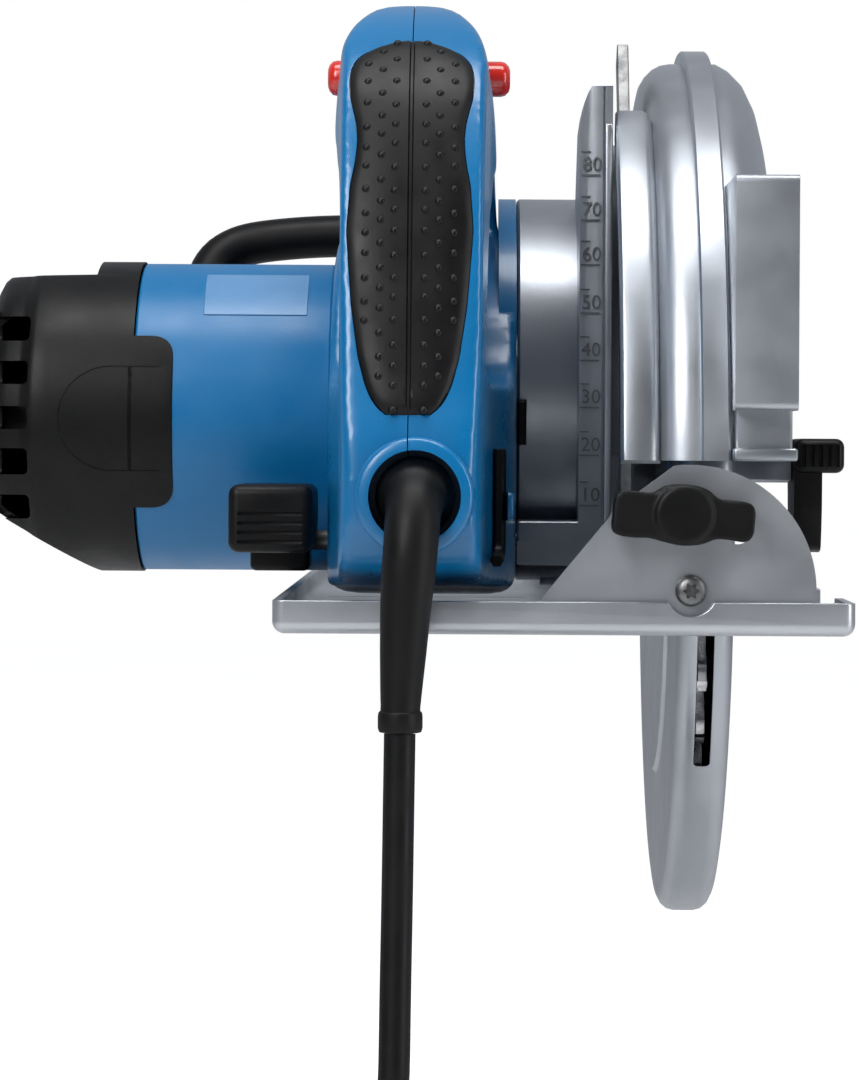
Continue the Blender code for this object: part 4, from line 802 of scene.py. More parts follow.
cap, tongue = cut(cap, inset()), cut(tongue, inset())
cap = join(cap, cylinder("X", (MY, MZ), 17.5, CX + 1, -154.0, 64))
cap = cut(cap, cylinder("X", (MY, MZ), 11.4, -163.6, -150, 64))
for low, high in ((83.0, 90.6), (69.7, 76.8), (56.0, 63.0), (42.2, 50.2), (28.6, 36.0)):
    cap = cut(cap, box((CX - 5, -160.5), (-120, -62), (low, high), 1.6, 4))
cap = cut(cap, outline("X", round_outline([(-60, 96), (-12, 96), (-12, 92), (-60, 92)], 1.6), CX - 1, CX + 1.2),
    outline("X", round_outline([(-60, 29), (-12, 29), (-12, 25), (-60, 25)], 1.6), CX - 1, CX + 1.2))
on_saw(cap, "motor_cap_v", "black", ["motor_cap"], 0.5, 3)
on_saw(tongue, "motor_cap_tongue", "black", [], 0.0)
for i, (y, z) in enumerate(((MY - 30, MZ + 30), (MY + 30, MZ - 30), (MY + 30, MZ + 30), (MY - 30, MZ - 30))):
    s = turned("X", (0, y, z), [(0.0, CX), (2.0, CX), (2.7, CX + 0.4), (2.9, CX + 1.0), (2.9, CX + 1.8),
        (0.0, CX + 1.8)][::-1], 32)
    s = cut(s, outline("X", star((y, z), 1.3, 0.3), CX - 1, CX + 1.0))
    on_saw(s, "cap_screw_%d" % i, "steel", [], 0.0)
plate = about_motor([(48.15, -108.0), (48.15, -76.0), (48.5, -76.3), (48.5, -107.7)][::-1], 192)
plate = meet(plate, box((-120, -60), (-90, -50), (91.5, 104.4), 1.2))
on_saw(plate, "label_blank", "label", [], 0.0)

# ---- handle shells ----

HX, HX0, HX1 = -42.9, -68.2, -12.3
OUTER = [(-186, 16), (-150, 12), (-100, 9), (-60, 6), (-20, 6), (8, 22), (16, 48), (14, 78), (6, 100),
    (-2, 118), (-16, 140), (-38, 160), (-66, 174), (-94, 181), (-122, 180.5), (-146, 172), (-166, 155),
    (-180, 130), (-189, 100), (-195, 70), (-199, 54), (-200, 38), (-197, 24)]
HOLE = [(-154, 76), (-130, 70), (-106, 74), (-92, 92), (-76, 106), (-56, 114), (-48, 122), (-54, 134),
    (-72, 142), (-98, 147), (-120, 144), (-138, 130), (-149, 108)]
FRONT = [(HX0, 5), (HX1, 5), (HX1, 112), (-18.0, 118), (-19.6, 150), (-22.6, 166), (-25.2, 172), (-31, 178.4),
    (-37, 180.8), (-43, 181.4), (-49, 180.8), (-55, 178.4), (-60.4, 172), (-63.0, 166), (-65.6, 150),
    (-66.4, 118), (HX0, 112)]
PLAN = [(-61.6, -206), (-23.4, -206), (-21.0, -146), (HX1, -118), (HX1, 40), (HX0, 40), (HX0, -118),
    (-63.4, -146)]
GLX, GLZ = GLAND_X, GLAND_Z


def flow(points, count):
    return [tuple(p.to_2d()) for p in spline([(*p, 0) for p in points], count, True)]


solid = outline("X", offset(flow(OUTER, 160), 0.3), HX0, HX1)
solid = meet(solid, outline("Y", round_outline(FRONT, 9, 5), -220, 40),
    outline("Z", round_outline(PLAN, 16, 8), 0, 200))
solid = cut(solid, outline("X", offset(flow(HOLE, 120), -0.3), -90, 0))
mod = solid.modifiers.new("soft", "REMESH")
mod.mode = "VOXEL"
mod.voxel_size = 1.35 * M
solid = baked(solid)
mod = solid.modifiers.new("smooth", "SMOOTH")
mod.iterations = 16
mod.factor = 0.5
solid = baked(solid)


solid = join(solid, turned("Y", (GLX, 0, GLZ), [(12.0, -186.0), (12.0, -203.2), (14.9, -203.2), (15.8, -202.6),
    (16.2, -201.4), (16.2, -186.0)], 96))


def copy(obj):
    return made(obj.name, obj.data.copy())


room = outline("X", offset(flow(OUTER, 80), 3.2), HX0 - 5, HX1 + 5)
room = cut(room, outline("X", offset(flow(HOLE, 80), -3.2), -90, 0))
room = meet(room, outline("Y", offset(FRONT, 3.6), -220, 40), outline("Z", offset(PLAN, 3.2), 0, 200))
BACK = [(-122, 180.5), (-146, 172), (-166, 155), (-180, 130), (-189, 100), (-195, 70), (-197.4, 60)]
BACK_FINE = [tuple(p.to_2d()) for p in spline([(*p, 0) for p in [(-94, 181), *BACK]], 120)]
BACK_FINE = [p for p in BACK_FINE if p[0] < -100]


HALF = ((57, 0), (58, 2.0), (59, 4.5), (61, 7.5), (64, 9.8), (68, 11.6), (76, 13.7), (90, 15.7), (111, 17.3),
    (124, 16.4), (130, 15.2), (136.6, 14.6), (142, 15.2), (149.5, 17.1), (154, 17.4), (158, 16.9), (161, 15.4),
    (163.5, 12.2), (165.4, 7.0), (166.4, 2.0), (167.5, 0.0))


def half_width(z):
    total = 0.0
    for h in (z - 1.4, z - 0.7, z, z + 0.7, z + 1.4):
        for (za, ra), (zb, rb) in zip(HALF, HALF[1:]):
            if za <= h <= zb:
                total += ra + (rb - ra) * (h - za) / (zb - za)
                break
    return total / 5


def grip_shell(outer_by, inner_by, half_by, top, bottom, rows=110, cols=28, dome=True):
    """A pad that follows the handle's back."""
    use = [p for p in BACK_FINE if bottom <= p[1] <= top]
    path = spline([(*p, 0) for p in use], rows)
    bm = bmesh.new()
    outer, inner = [], []
    for i, p in enumerate(path):
        a, b = path[max(0, i - 1)], path[min(rows - 1, i + 1)]
        d = (b - a).normalized()
        nrm = Vector((-d.y, d.x))
        if nrm.x > 0 and nrm.y < 0.2:
            nrm = -nrm
        if nrm.x > 0:
            nrm = -nrm
        end = min(1.0, i / 6.0, (rows - 1 - i) / 6.0)
        end = sqrt(max(0.0, 1 - (1 - end) ** 2))
        w = max(2.0, half_width(p.y) + half_by)
        ro, ri = [], []
        us = [-1 + 2 * j / cols for j in range(cols + 1)]
        if dome:
            us = sorted(us + [x / w for x in (-0.75, -0.35, 0.35, 0.75)])
        for u in us:
            lift = (1 - abs(u) ** 3.2) ** 0.6 * end if dome else 1.0
            o = outer_by * lift - (0.4 * u * u if dome else 0)
            if dome:
                o -= 0.75 * end * max(0.0, min(1.0, (0.75 - abs(u) * w) / 0.4))
            ro.append(bm.verts.new(((HX + u * w) * M, (p.x + nrm.x * o) * M, (p.y + nrm.y * o) * M)))
            ri.append(bm.verts.new(((HX + u * w) * M, (p.x - nrm.x * inner_by) * M,
                (p.y - nrm.y * inner_by) * M)))
        outer.append(ro)
        inner.append(ri)
    cols = len(outer[0]) - 1
    for i in range(rows - 1):
        for j in range(cols):
            bm.faces.new((outer[i][j], outer[i][j + 1], outer[i + 1][j + 1], outer[i + 1][j]))
            bm.faces.new((inner[i][j], inner[i + 1][j], inner[i + 1][j + 1], inner[i][j + 1]))
        for j in (0, cols):
            bm.faces.new((outer[i][j], outer[i + 1][j], inner[i + 1][j], inner[i][j]))
    for i in (0, rows - 1):
        for j in range(cols):
            bm.faces.new((outer[i][j], inner[i][j], inner[i][j + 1], outer[i][j + 1]))
    return from_bmesh("grip", bm)


def back_at(z):
    """The back line's point and outward normal at a height."""
    for p, q in zip(BACK_FINE, BACK_FINE[1:]):
        if q[1] <= z <= p[1]:
            k = (p[1] - z) / (p[1] - q[1])
            d = (Vector(q) - Vector(p)).normalized()
            nrm = Vector((-d.y, d.x))
            if nrm.x > 0:
                nrm = -nrm
            return Vector(p).lerp(Vector(q), k), nrm
    return None, None


recess = grip_shell(6.0, 2.3, 0.3, 166.8, 57.5, 90, 8, False)
LOCK = (-112.0, 160.0)
cutters = [recess, cylinder("Y", (GLX, GLZ), 12.6, -230, -185, 72),
    cylinder("X", (MY, MZ), MR - 6.0, -90, 0, 96), cylinder("X", (-100, 23.4), 3.6, -90, 0, 32),
    cylinder("X", LOCK, 5.7, -90, 0, 48), box((HX - 7.5, HX + 7.5), (-158, -116), (96, 147), 1.0)]
for k, (y, z) in enumerate(((-176.0, 52.0), (-28.0, 134.0))):
    cutters.append(cylinder("X", (y, z), 4.3, -80, -58.0, 40))
whole = cut(solid, room, *cutters)
halves = []
for side in (-1, 1):
    part = copy(whole)
    part.name = "half"
    xs = (-100, HX - GAP / 2) if side < 0 else (HX + GAP / 2, 20)
    part = meet(part, box(xs, (-260, 60), (-20, 220)))
    halves.append(part)
bpy.data.objects.remove(whole, do_unlink=True)
left, right = halves
for y, z in ((-176.0, 52.0), (-28.0, 134.0)):
    a = -60.2 if z < 100 else -64.0
    left = join(left, cut(cylinder("X", (y, z), 5.0, a, HX - GAP / 2, 32),
        cylinder("X", (y, z), 2.4, -80, 0, 24), cylinder("X", (y, z), 4.3, -80, -58.0, 32)))
    b = -22.6 if z < 100 else -21.0
    right = join(right, cut(cylinder("X", (y, z), 5.0, HX + GAP / 2, b, 32),
        cylinder("X", (y, z), 2.4, -60, -30, 24)))
KX, KY = -17.6, -142.0
clip = box((-23.6, KX + 4.4), (KY - 4.4, KY + 4.0), (30.5, 38.5), 1.4, 4)
clip = cut(clip, cylinder("Z", (KX, KY), 2.5, 10, 60, 40), box((KX - 2.5, KX + 2.5), (KY - 10, KY), (10, 60)))
right = join(right, clip)
flange = outline("X", [*arc((AY, GZ), GR, 92, 168, 60), *arc((AY, GZ), GR - 12, 168, 92, 60)], -17.7, HX1)
right = join(right, flange)
on_saw(left, "handle_shell_left", "blue", ["handle_left"], 0.5, 3, 50)
on_saw(right, "handle_shell_right", "blue", ["handle_right"], 0.5, 3, 50)

pad = grip_shell(1.8, 1.9, 0.0, 166.4, 57.8)
pips = bmesh.new()
for k, dx in enumerate((4.2, 8.0, 12.1)):
    for row in range(18):
        z = 61.0 + 6.1 * row + (3.0 if k == 1 else 0.0) + 0.6 * sin(row * 1.7 + k)
        p, nrm = back_at(z)
        if p is None or z > 165 or dx > half_width(z) - 2.2:
            continue
        for side in (-1, 1):
            u = dx / half_width(z)
            lift = 1.8 * (1 - u ** 3.2) ** 0.6 - 0.4 * u * u
            centre = Vector((HX + side * dx, p.x + nrm.x * (lift - 0.75), p.y + nrm.y * (lift - 0.75)))
            got = bmesh.ops.create_uvsphere(pips, u_segments=16, v_segments=10, radius=1.35 * M)
            for v in got["verts"]:
                v.co = v.co + centre * M
pips_obj = from_bmesh("pips", pips)
attach(pad, pips_obj)
on_saw(pad, "grip_pad", "grip", ["grip"], 0.0)

# ---- handle's small pieces ----

ring = [(0.0, -14.9), (2.6, -14.9), (3.8, -15.3), (4.9, -16.4), (5.2, -17.6), (5.2, -26.0), (2.6, -26.0),
    (2.6, -60.0), (5.2, -60.0), (5.2, -66.0), (4.9, -67.2), (3.8, -68.2), (2.6, -68.6), (0.0, -68.6)]
finish(turned("X", (0, *LOCK), ring, 64), "lock_off_v", "lock_off", "red", ["lock_off_bar"], 0.0)
trig = [(-127.6, 158), (-120, 158), (-119.6, 150), (-124, 142), (-133, 128), (-141, 112), (-143.4, 102),
    (-148, 102), (-148, 112), (-141, 130), (-131, 146)]
trigger = bevelled(outline("X", round_outline(trig, 3, 5), HX - 7.0, HX + 7.0), 1.2, 3, 50)
finish(trigger, "trigger_v", "trigger", "black", ["trigger"], 0.0)
for letter, (y, z) in zip("ab", ((-176.0, 52.0), (-28.0, 134.0))):
    s = turned("X", (0, y, z), [(0.0, -31.0), (1.4, -31.0), (2.0, -32.0), (2.0, -58.4), (3.6, -58.4),
        (3.6, -60.8), (3.2, -61.4), (2.6, -61.6), (0.0, -61.6)], 40)
    on_saw(cut(s, outline("X", star((y, z), 1.6, 0.36), -64, -60.0)), "shell_screw_" + letter, "steel",
        ["handle_screw_" + letter], 0.0)
lock = box((-11.9, -9.5), (-100.2, -84.0), (52.4, 65.4), 0.7, 4)
for k in range(4):
    z = 55.6 + 2.2 * k
    lock = cut(lock, box((-13, -8), (-101, -99.9), (z - 0.4, z + 0.4)))
finish(lock, "spindle_lock_v", "spindle_lock", "black", ["spindle_lock_button"], 0.0)
keyline = spline([(KX, KY, 51.0), (KX, KY, 40.0), (KX, KY, 28.0), (KX, KY - 0.3, 23.6),
    (KX - 0.2, KY - 2.2, 20.7), (KX - 0.4, KY - 6.0, 19.7), (KX - 0.6, KY - 16.0, 19.4)], 44)
bm = bmesh.new()
loops = []
for i, p in enumerate(keyline):
    d = (keyline[min(i + 1, 43)] - keyline[max(0, i - 1)]).normalized()
    side = Vector((1, 0, 0))
    up = d.cross(side).normalized()
    side = up.cross(d).normalized()
    r = 2.1 * (0.88 if i in (0, 43) else 1.0)
    loops.append([bm.verts.new((p + (side * cos(a) + up * sin(a)) * r) * M) for a in (radians(60 * k) for k in range(6))])
for a, b in zip(loops, loops[1:]):
    for k in range(6):
        bm.faces.new((a[k], a[(k + 1) % 6], b[(k + 1) % 6], b[k]))
bm.faces.new(loops[0])
bm.faces.new(loops[-1][::-1])
finish(from_bmesh("key", bm), "hex_key_v", "hex_key", "black", ["hex_key"], 0.25, 2)

# ---- front handle and depth lever ----

bow = [(-13, 60, 104), (-22, 62, 116), (-40, 63, 122), (-70, 63, 123.4), (-98, 62, 121.2), (-110, 60, 117),
    (-115.4, 57, 110), (-116, 52, 102), (-112, 45, 97), (-104, 36, 94)]
points = spline(bow, 72)
front_handle = wire([tuple(p) for p in points], 7.2, 8)
foot = box((-30.0, -9.0), (18, 66), (92, 112), 4.0, 5)
seat = box((-122, -94), (MY + MR - 14.2, 50), (MZ + MR - 24.6, 104), 3.0, 5)
front_handle = join(front_handle, foot, seat)
front_handle = cut(front_handle, cylinder("X", (MY, MZ), MR + 0.7, -140, 0, 128),
    outline("X", offset(OUTER, -GAP), HX0 - GAP, HX1 + GAP), cylinder("X", (AY, GZ), GR + 0.7, -40, 20, 128))
on_saw(front_handle, "front_handle_v", "black", ["front_handle"], 0.6, 3)

CLY, CLZ = -100.0, 23.4
rod = turned("X", (0, CLY, CLZ), [(0.0, 26.0), (7.0, 26.0), (7.8, 25.4), (8.0, 24.6), (8.0, 22.1), (3.0, 22.1),
    (3.0, -77.4), (2.6, -78.0), (0.0, -78.0)], 64)
on_saw(rod, "clamp_rod_v", "zinc", ["clamp_rod"], 0.15)
lever = box((-96.0, -71.6), (CLY - 34, CLY + 9), (20.4, 40.2), 3.0, 5)
lever = join(lever, box((-91.0, -73.4), (CLY - 9, CLY + 8), (14.4, 26.0), 1.8, 4))
lever = cut(lever, cylinder("X", (CLY, CLZ), 3.3, -78.6, -60, 40))
for k in range(4):
    z = 23.6 + 2.7 * k
    lever = cut(lever, box((-93.2, -74.4), (CLY - 40, CLY - 33.1), (z - 0.55, z + 0.55), 0.3, 2))
for k in range(6):
    y = CLY - 29.0 + 4.6 * k
    lever = cut(lever, box((-93.2, -74.4), (y - 0.7, y + 0.7), (39.4, 44.0), 0.4, 2))
finish(lever, "depth_lever_v", "depth_lever", "black", ["depth_lever"], 0.3)

# ---- lower guard and its lever ----

LR = 128.5
prof = [(0.0, BLX + 8), (LR - 6, BLX + 8), (LR - 4, BLX + 7.7), (LR - 1.8, BLX + 6.6), (LR - 0.5, BLX + 5.0),
    (LR, BLX + 3), (LR, BLX - 3), (LR - 0.5, BLX - 5.0), (LR - 1.8, BLX - 6.6), (LR - 4, BLX - 7.7),
    (LR - 6, BLX - 8), (86.6, BLX - 8), (85.4, BLX - 8.4), (84.5, BLX - 9.5), (0.0, BLX - 9.5)]
lower = about_blade(prof, 160)
room = [(0.0, BLX + 6.2), (LR - 6.8, BLX + 6.2), (LR - 2.2, BLX + 3.6), (LR - 2.2, BLX - 3.6),
    (LR - 6.8, BLX - 6.2), (0.0, BLX - 6.2)]
lower = cut(lower, outline("X", [(AY, AZ + 26.0),
    *[(AY + 148 * cos(radians(a)), AZ + 148 * sin(radians(a))) for a in (4, 40, 90, 140, 172)]], 0, 90))
lower = cut(lower, about_blade(room, 160))
lower = cut(lower, cylinder("X", (AY, AZ), 20.6, 20, BLX, 72), cylinder("X", (AY, AZ), 23.0, BLX, 60, 72),
    box((BLX - 2.4, BLX + 2.4), (-200, -120), (-40, 40), 1.2))
ear = outline("X", [*arc((AY, AZ), 108.0, 166, 176, 8), *arc((AY, AZ), 95.0, 176, 166, 8)], BLX + 7.0, X1 + 3.6)
lower = join(lower, ear)
finish(lower, "guard_lower", "lower_guard", "cast", ["lower_guard"], 0.5, 3, 30)
stem = [(-146, 22.6), (-139, 21.6), (-132, 22.6), (-129.6, 28), (-128, 34), (-126, 54), (-150, 54), (-149, 34),
    (-147.6, 28)]
stem = bevelled(outline("X", round_outline(stem, 2, 4), 66.4, 74.4), 2.0, 4, 50)
thumb = box((66.4, 80.6), (-152, -124), (44.6, 54.4), 2.4, 5)
stem = join(stem, thumb)
for k in range(5):
    x = 69.0 + 2.4 * k
    stem = cut(stem, box((x - 0.5, x + 0.5), (-156, -151.3), (46.2, 52.8), 0.2, 1))
finish(stem, "guard_lever_v", "lower_guard", "black", ["guard_lever"], 0.25)

# ---- blade and spindle ----

teeth, rim_line = 40, []
for i in range(teeth):
    a = 360.0 * i / teeth
    for r, da in ((117.4, 0.0), (116.6, 2.6), (114.6, 4.2), (110.0, 5.2), (108.2, 6.3), (109.0, 7.6),
            (112.6, 8.5)):
        t = radians(-a - da)
        rim_line.append((AY + r * cos(t), AZ + r * sin(t)))
blade = outline("X", rim_line, BLX - 1.2, BLX + 1.2, [arc((AY, AZ), 6.5, 0, 360, 40)[:-1]])
for k in range(4):
    a = radians(90 * k + 20)
    pts = []
    for s in range(15):
        r = 109 - s * 1.7
        pts.append((AY + r * cos(a + 0.004 * s * s * 0.2), AZ + r * sin(a + 0.004 * s * s * 0.2)))
    left_side, right_side = [], []
    for p in pts:
        n1 = Vector((-sin(a), cos(a))) * 0.35
        left_side.append((p[0] + n1.x, p[1] + n1.y))
        right_side.append((p[0] - n1.x, p[1] - n1.y))
    blade = cut(blade, outline("X", left_side + right_side[::-1], BLX - 3, BLX + 3))
finish(blade, "saw_blade", "spindle", "blade", ["blade"], 0.0)
tips = bmesh.new()
for i in range(teeth):
    t = radians(-360.0 * i / teeth - 1.0)
    c = Vector((BLX, AY + 115.0 * cos(t), AZ + 115.0 * sin(t)))
    got = bmesh.ops.create_cube(tips, size=1.0)
    for v in got["verts"]:
        v.co = Vector((v.co.x * 2.9, v.co.y * 4.2, v.co.z * 2.0))
        v.co.rotate(Matrix.Rotation(t, 3, "X"))
        v.co = (v.co + c) * M
finish(from_bmesh("tips", tips), "carbide_tips", "spindle", "steel", [], 0.0)
hexhead = cylinder("X", (AY, AZ), 6.6, 48.6, 53.8, 6)
finish(join(cylinder("X", (AY, AZ), 9.0, 47.7, 49.2, 64), hexhead, cylinder("X", (AY, AZ), 4.0, 29, 49, 40)),
    "blade_bolt_v", "spindle", "zinc", ["blade_bolt"], 0.2)
FL = 39.8
finish(about_blade([(20.0, FL - GAP), (20.0, FL - 2.0), (14.0, FL - 2.9), (6.4, FL - 2.9), (6.4, FL - GAP)],
    96), "flange_inner", "spindle", "steel", ["inner_flange"], 0.2)
finish(about_blade([(6.4, 47.4), (15.0, 47.4), (20.0, 44.4), (20.0, 42.5), (6.4, 42.5)], 96), "flange_outer",
    "spindle", "steel", ["outer_flange"], 0.2)


def toothed(name, body, node, centre, r, x0, x1, count, bore):
    pts = []
    for i in range(count * 4):
        a = 2 * PI * i / (count * 4)
        rr = r - (0.0 if i % 4 in (0, 1) else 1.5)
        pts.append((centre[0] + rr * cos(a), centre[1] + rr * sin(a)))
    ring = [arc(centre, bore, 0, 360, 40)[:-1]] if bore else []
    return finish(outline("X", pts, x0, x1, ring), name, body, "steel", [node] if node else [], 0.0)


toothed("spindle_gear_v", "spindle", "spindle_gear", (AY, AZ), 21.0, -3.0, 7.0, 46, 7.8)
finish(about_blade([(0.0, 28.0), (4.3, 28.0), (4.3, 46.0), (6.0, 46.0), (6.0, 36.4), (7.4, 36.4), (7.4, -9.4),
    (6.8, -10.0), (0.0, -10.0)], 64), "spindle_v", "spindle", "steel", ["spindle"], 0.2)

# ---- armature, stator, bearings ----

MA = (MY, MZ)
finish(about_motor([(0.0, 7.4), (3.4, 7.4), (4.0, 6.8), (4.0, -4.0), (6.0, -4.0), (6.0, -161.4), (5.4, -162.0),
    (0.0, -162.0)], 64), "shaft", "armature", "steel", ["armature_shaft"], 0.0)
core_pts = []
for i in range(12):
    for da, r in ((0, 24.0), (20, 24.0), (21, 21.5), (29, 21.5)):
        a = radians(30 * i + da)
        core_pts.append((MY + r * cos(a), MZ + r * sin(a)))
core = outline("X", core_pts, -120, -86, [arc(MA, 6.4, 0, 360, 40)[:-1]])
finish(core, "lamination_stack", "armature", "steel", [], 0.0)
finish(about_motor([(21.0, -80.6), (22.6, -82.0), (22.6, -85.9), (6.4, -85.9), (6.4, -80.4), (10, -80.0)], 96),
    "winding_front", "armature", "copper", ["armature_core"], 0.0)
finish(about_motor([(21.0, -125.4), (22.6, -124.0), (22.6, -120.1), (6.4, -120.1), (6.4, -125.8),
    (10, -126.0)][::-1], 96), "winding_rear", "armature", "copper", [], 0.0)
com_pts = []
for i in range(24):
    for da, r in ((0, 14.0), (12, 14.0), (12.6, 12.9), (14.4, 12.9)):
        a = radians(15 * i + da)
        com_pts.append((MY + r * cos(a), MZ + r * sin(a)))
finish(outline("X", com_pts, -147, -129, [arc(MA, 6.4, 0, 360, 40)[:-1]]), "commutator_v", "armature", "copper",
    ["commutator"], 0.0)
fan = about_motor([(38.0, -60.0), (38.0, -62.0), (12.0, -70.0), (6.4, -70.0), (6.4, -58.0), (12.0, -58.0),
    (13.0, -66.0)], 96)
for i in range(12):
    vane = box((-66.0, -53.2), (-0.8, 0.8), (14.0, 37.0))
    vane.matrix_world = Matrix.Translation(Vector((0, MY, MZ)) * M) @ Matrix.Rotation(radians(30 * i + 10), 4,
        "X")
    fan = join(fan, baked(vane))
finish(fan, "fan_v", "armature", "black", ["fan"], 0.2)
stator_pts = [arc(MA, 26.0, 0, 360, 72)[:-1]]
stack = outline("X", arc(MA, 42.0, 0, 360, 96)[:-1], -124, -82, stator_pts)
stack = cut(stack, box((-130, -78), (MY - 33, MY + 33), (MZ - 6, MZ + 6)))
on_saw(stack, "stator_stack", "steel", ["stator"], 0.0)
for name, a, b in (("coil_front", -81.9, -80.1), ("coil_rear", -125.9, -124.1)):
    on_saw(outline("X", arc(MA, 40.0, 0, 360, 72)[:-1], a, b, [arc(MA, 27.4, 0, 360, 72)[:-1]]), name, "copper",
        [], 0.4)


def bearing(name, node, centre, outer, bore, a, b):
    m = (outer + bore) / 2
    on_saw(turned("X", (0, *centre), [(outer, b), (outer, a), (m + 1.6, a), (m + 1.6, a + 0.6),
        (m + 1.6, b - 0.6), (m + 1.6, b)], 72), name + "_outer", "steel", [node], 0.2)
    on_saw(turned("X", (0, *centre), [(m - 1.6, b), (m - 1.6, a), (bore, a), (bore, b)], 72), name + "_inner",
        "steel", [], 0.2)
    on_saw(turned("X", (0, *centre), [(m + 1.5, b - 0.5), (m + 1.5, a + 0.5), (m - 1.5, a + 0.5),
        (m - 1.5, b - 0.5)], 72), name + "_shield", "black", [], 0.0)


bearing("mbr", "motor_bearing_rear", MA, 11.0, 6.3, -163.0, -155.0)
bearing("mbf", "motor_bearing_front", MA, 14.0, 6.3, -40.0, -31.0)
bearing("sbi", "spindle_bearing_inner", (AY, AZ), 14.9, 7.7, 10.0, 17.0)
bearing("sbo", "spindle_bearing_outer", (AY, AZ), 14.9, 7.7, 17.4, 24.0)
web_plate = about_motor([(39.0, -45.4), (39.0, -48.4), (14.4, -48.4), (14.4, -30.6), (18.0, -30.6),
    (18.0, -45.4)], 96)
for i in range(8):
    a = radians(45 * i)
    web_plate = cut(web_plate, cylinder("X", (MY + 29 * cos(a), MZ + 29 * sin(a)), 5.0, -52, -42, 40))
on_saw(web_plate, "bearing_web", "black", ["bearing_plate"], 0.4)
for letter, side in (("top", 1), ("bottom", -1)):
    z0, z1 = sorted((MZ + side * 19.0, MZ + side * 41.0))
    holder = box((-144.0, -132.0), (MY - 7, MY + 7), (z0, z1), 0.8)
    hole = sorted((MZ + side * 10.0, MZ + side * 38.0))
    holder = cut(holder, box((-141.6, -134.4), (MY - 4.6, MY + 4.6), hole))
    on_saw(holder, "brush_box_" + letter, "brown", ["brush_holder_" + letter], 0.2)
    reach = sorted((MZ + side * 14.3, MZ + side * 33.0))
    on_saw(box((-141.2, -134.8), (MY - 4.2, MY + 4.2), reach, 0.3), "brush_block_" + letter, "carbon",
        ["brush_" + letter], 0.0)

# ---- inside the handle, tie, spring ----

tie_y, tie_z = 18.3, 13.8
tie = box((COIL.x - 3.6, COIL.x + 3.6), (COIL.y - tie_y - 1.9, COIL.y + tie_y + 1.9),
    (-255.2 - tie_z - 2.0, -255.2 + tie_z + 2.0), 3.0, 5)
tie = cut(tie, box((COIL.x - 9, COIL.x + 9), (COIL.y - tie_y - 0.6, COIL.y + tie_y + 0.6),
    (-255.2 - tie_z - 0.7, -255.2 + tie_z + 0.7), 2.0, 3))
on_saw(tie, "cord_strap", "black", ["cord_tie"], 0.25)
spring = []
for i in range(6 * 24 + 1):
    a = radians(15 * i)
    spring.append((20.9 + 2.6 * cos(a), 20.0 + 2.6 * sin(a), 62.0 + 26.0 * i / 144))
on_saw(wire(spring, 0.5, 4), "return_spring", "steel", ["guard_spring"], 0.0)

CAD_LOOK = {"switch": "black", "cable_clamp": "black"}
for name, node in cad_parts.items():
    if node.hide_render:
        continue
    node.data.materials.clear()
    node.data.materials.append(MAT[CAD_LOOK.get(name, "black")])
    mod = node.modifiers.new("edge", "BEVEL")
    mod.width = 0.6 * M
    mod.segments = 3
    mod.limit_method = "ANGLE"


# ---- floor and light ----

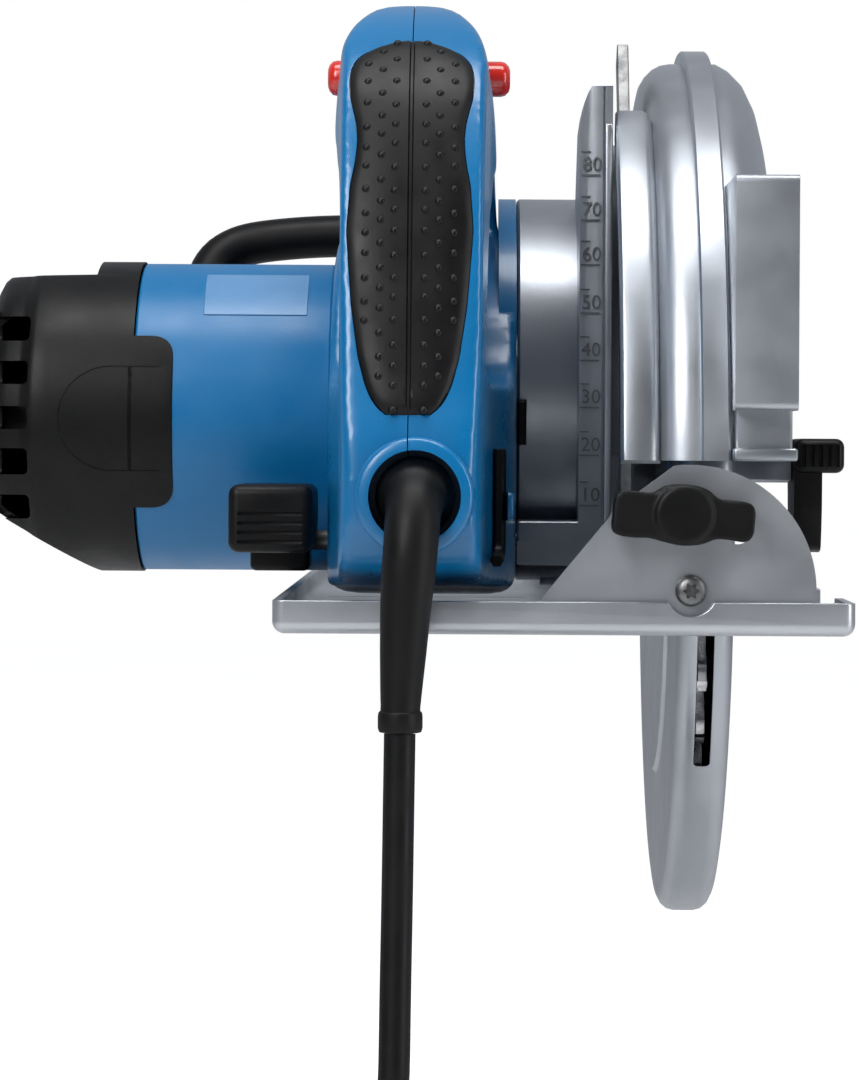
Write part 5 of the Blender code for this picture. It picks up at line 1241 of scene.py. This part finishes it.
world = bpy.data.worlds.new("studio")
scene.world = world
world.use_nodes = True
tree = world.node_tree
back = tree.nodes["Background"]
where = tree.nodes.new("ShaderNodeTexCoord")
split = tree.nodes.new("ShaderNodeSeparateXYZ")
ramp = tree.nodes.new("ShaderNodeValToRGB")
tree.links.new(where.outputs["Generated"], split.inputs["Vector"])
tree.links.new(split.outputs["Y"], ramp.inputs["Fac"])
ramp.color_ramp.elements[0].position = 0.0
ramp.color_ramp.elements[0].color = (0.075, 0.08, 0.09, 1)
ramp.color_ramp.elements[1].position = 0.6
ramp.color_ramp.elements[1].color = (0.40, 0.42, 0.46, 1)
seen = tree.nodes.new("ShaderNodeLightPath")
mix = tree.nodes.new("ShaderNodeMix")
mix.data_type = "RGBA"
tree.links.new(seen.outputs["Is Camera Ray"], mix.inputs["Factor"])
tree.links.new(ramp.outputs["Color"], mix.inputs[6])
mix.inputs[7].default_value = (1.0, 1.0, 1.0, 1.0)
tree.links.new(mix.outputs[2], back.inputs["Color"])
back.inputs["Strength"].default_value = 1.0


FLOOR_Z, FLOOR_SIZE, FLOOR_GLOW = -0.33, 6.0, 0.8


def area(name, place, aim, size, power):
    data = bpy.data.lights.new(name, "AREA")
    data.shape = "RECTANGLE"
    data.size, data.size_y = size
    data.energy = power
    found = bpy.data.objects.new(name, data)
    scene.collection.objects.link(found)
    found.location = place
    found.rotation_euler = (Vector(aim) - Vector(place)).to_track_quat("-Z", "Y").to_euler()
    return found


area("key", (-0.75, -1.3, 0.85), (0, -0.1, 0.05), (0.5, 0.9), 17)
area("fill", (1.25, -0.75, 0.35), (0, -0.1, 0.05), (0.35, 1.2), 8)
area("top", (0.0, -0.35, 1.3), (0, -0.05, 0), (1.3, 0.45), 15)
bm = bmesh.new()
bmesh.ops.create_grid(bm, x_segments=2, y_segments=2, size=FLOOR_SIZE)
bmesh.ops.translate(bm, vec=(0, 0, FLOOR_Z), verts=bm.verts)
floor = from_bmesh("floor", bm)
n = Nodes("floor_paint", (0.9, 0.9, 0.9), 0.6)
n.shader.inputs["Emission Color"].default_value = (1, 1, 1, 1)
path_node = n.tree.nodes.new("ShaderNodeLightPath")
glow = n.tree.nodes.new("ShaderNodeMapRange")
glow.inputs["To Min"].default_value = 0.06
glow.inputs["To Max"].default_value = FLOOR_GLOW
n.tree.links.new(path_node.outputs["Is Camera Ray"], glow.inputs["Value"])
n.tree.links.new(glow.outputs["Result"], n.shader.inputs["Emission Strength"])
n.tint(n.noise(3, 3), (0.88, 0.88, 0.88), (0.92, 0.92, 0.92)).roughen(n.noise(8, 3), 0.55, 0.7)
floor.data.materials.append(n.mat)
scene.view_settings.view_transform = "Standard"
scene.view_settings.look = "None"
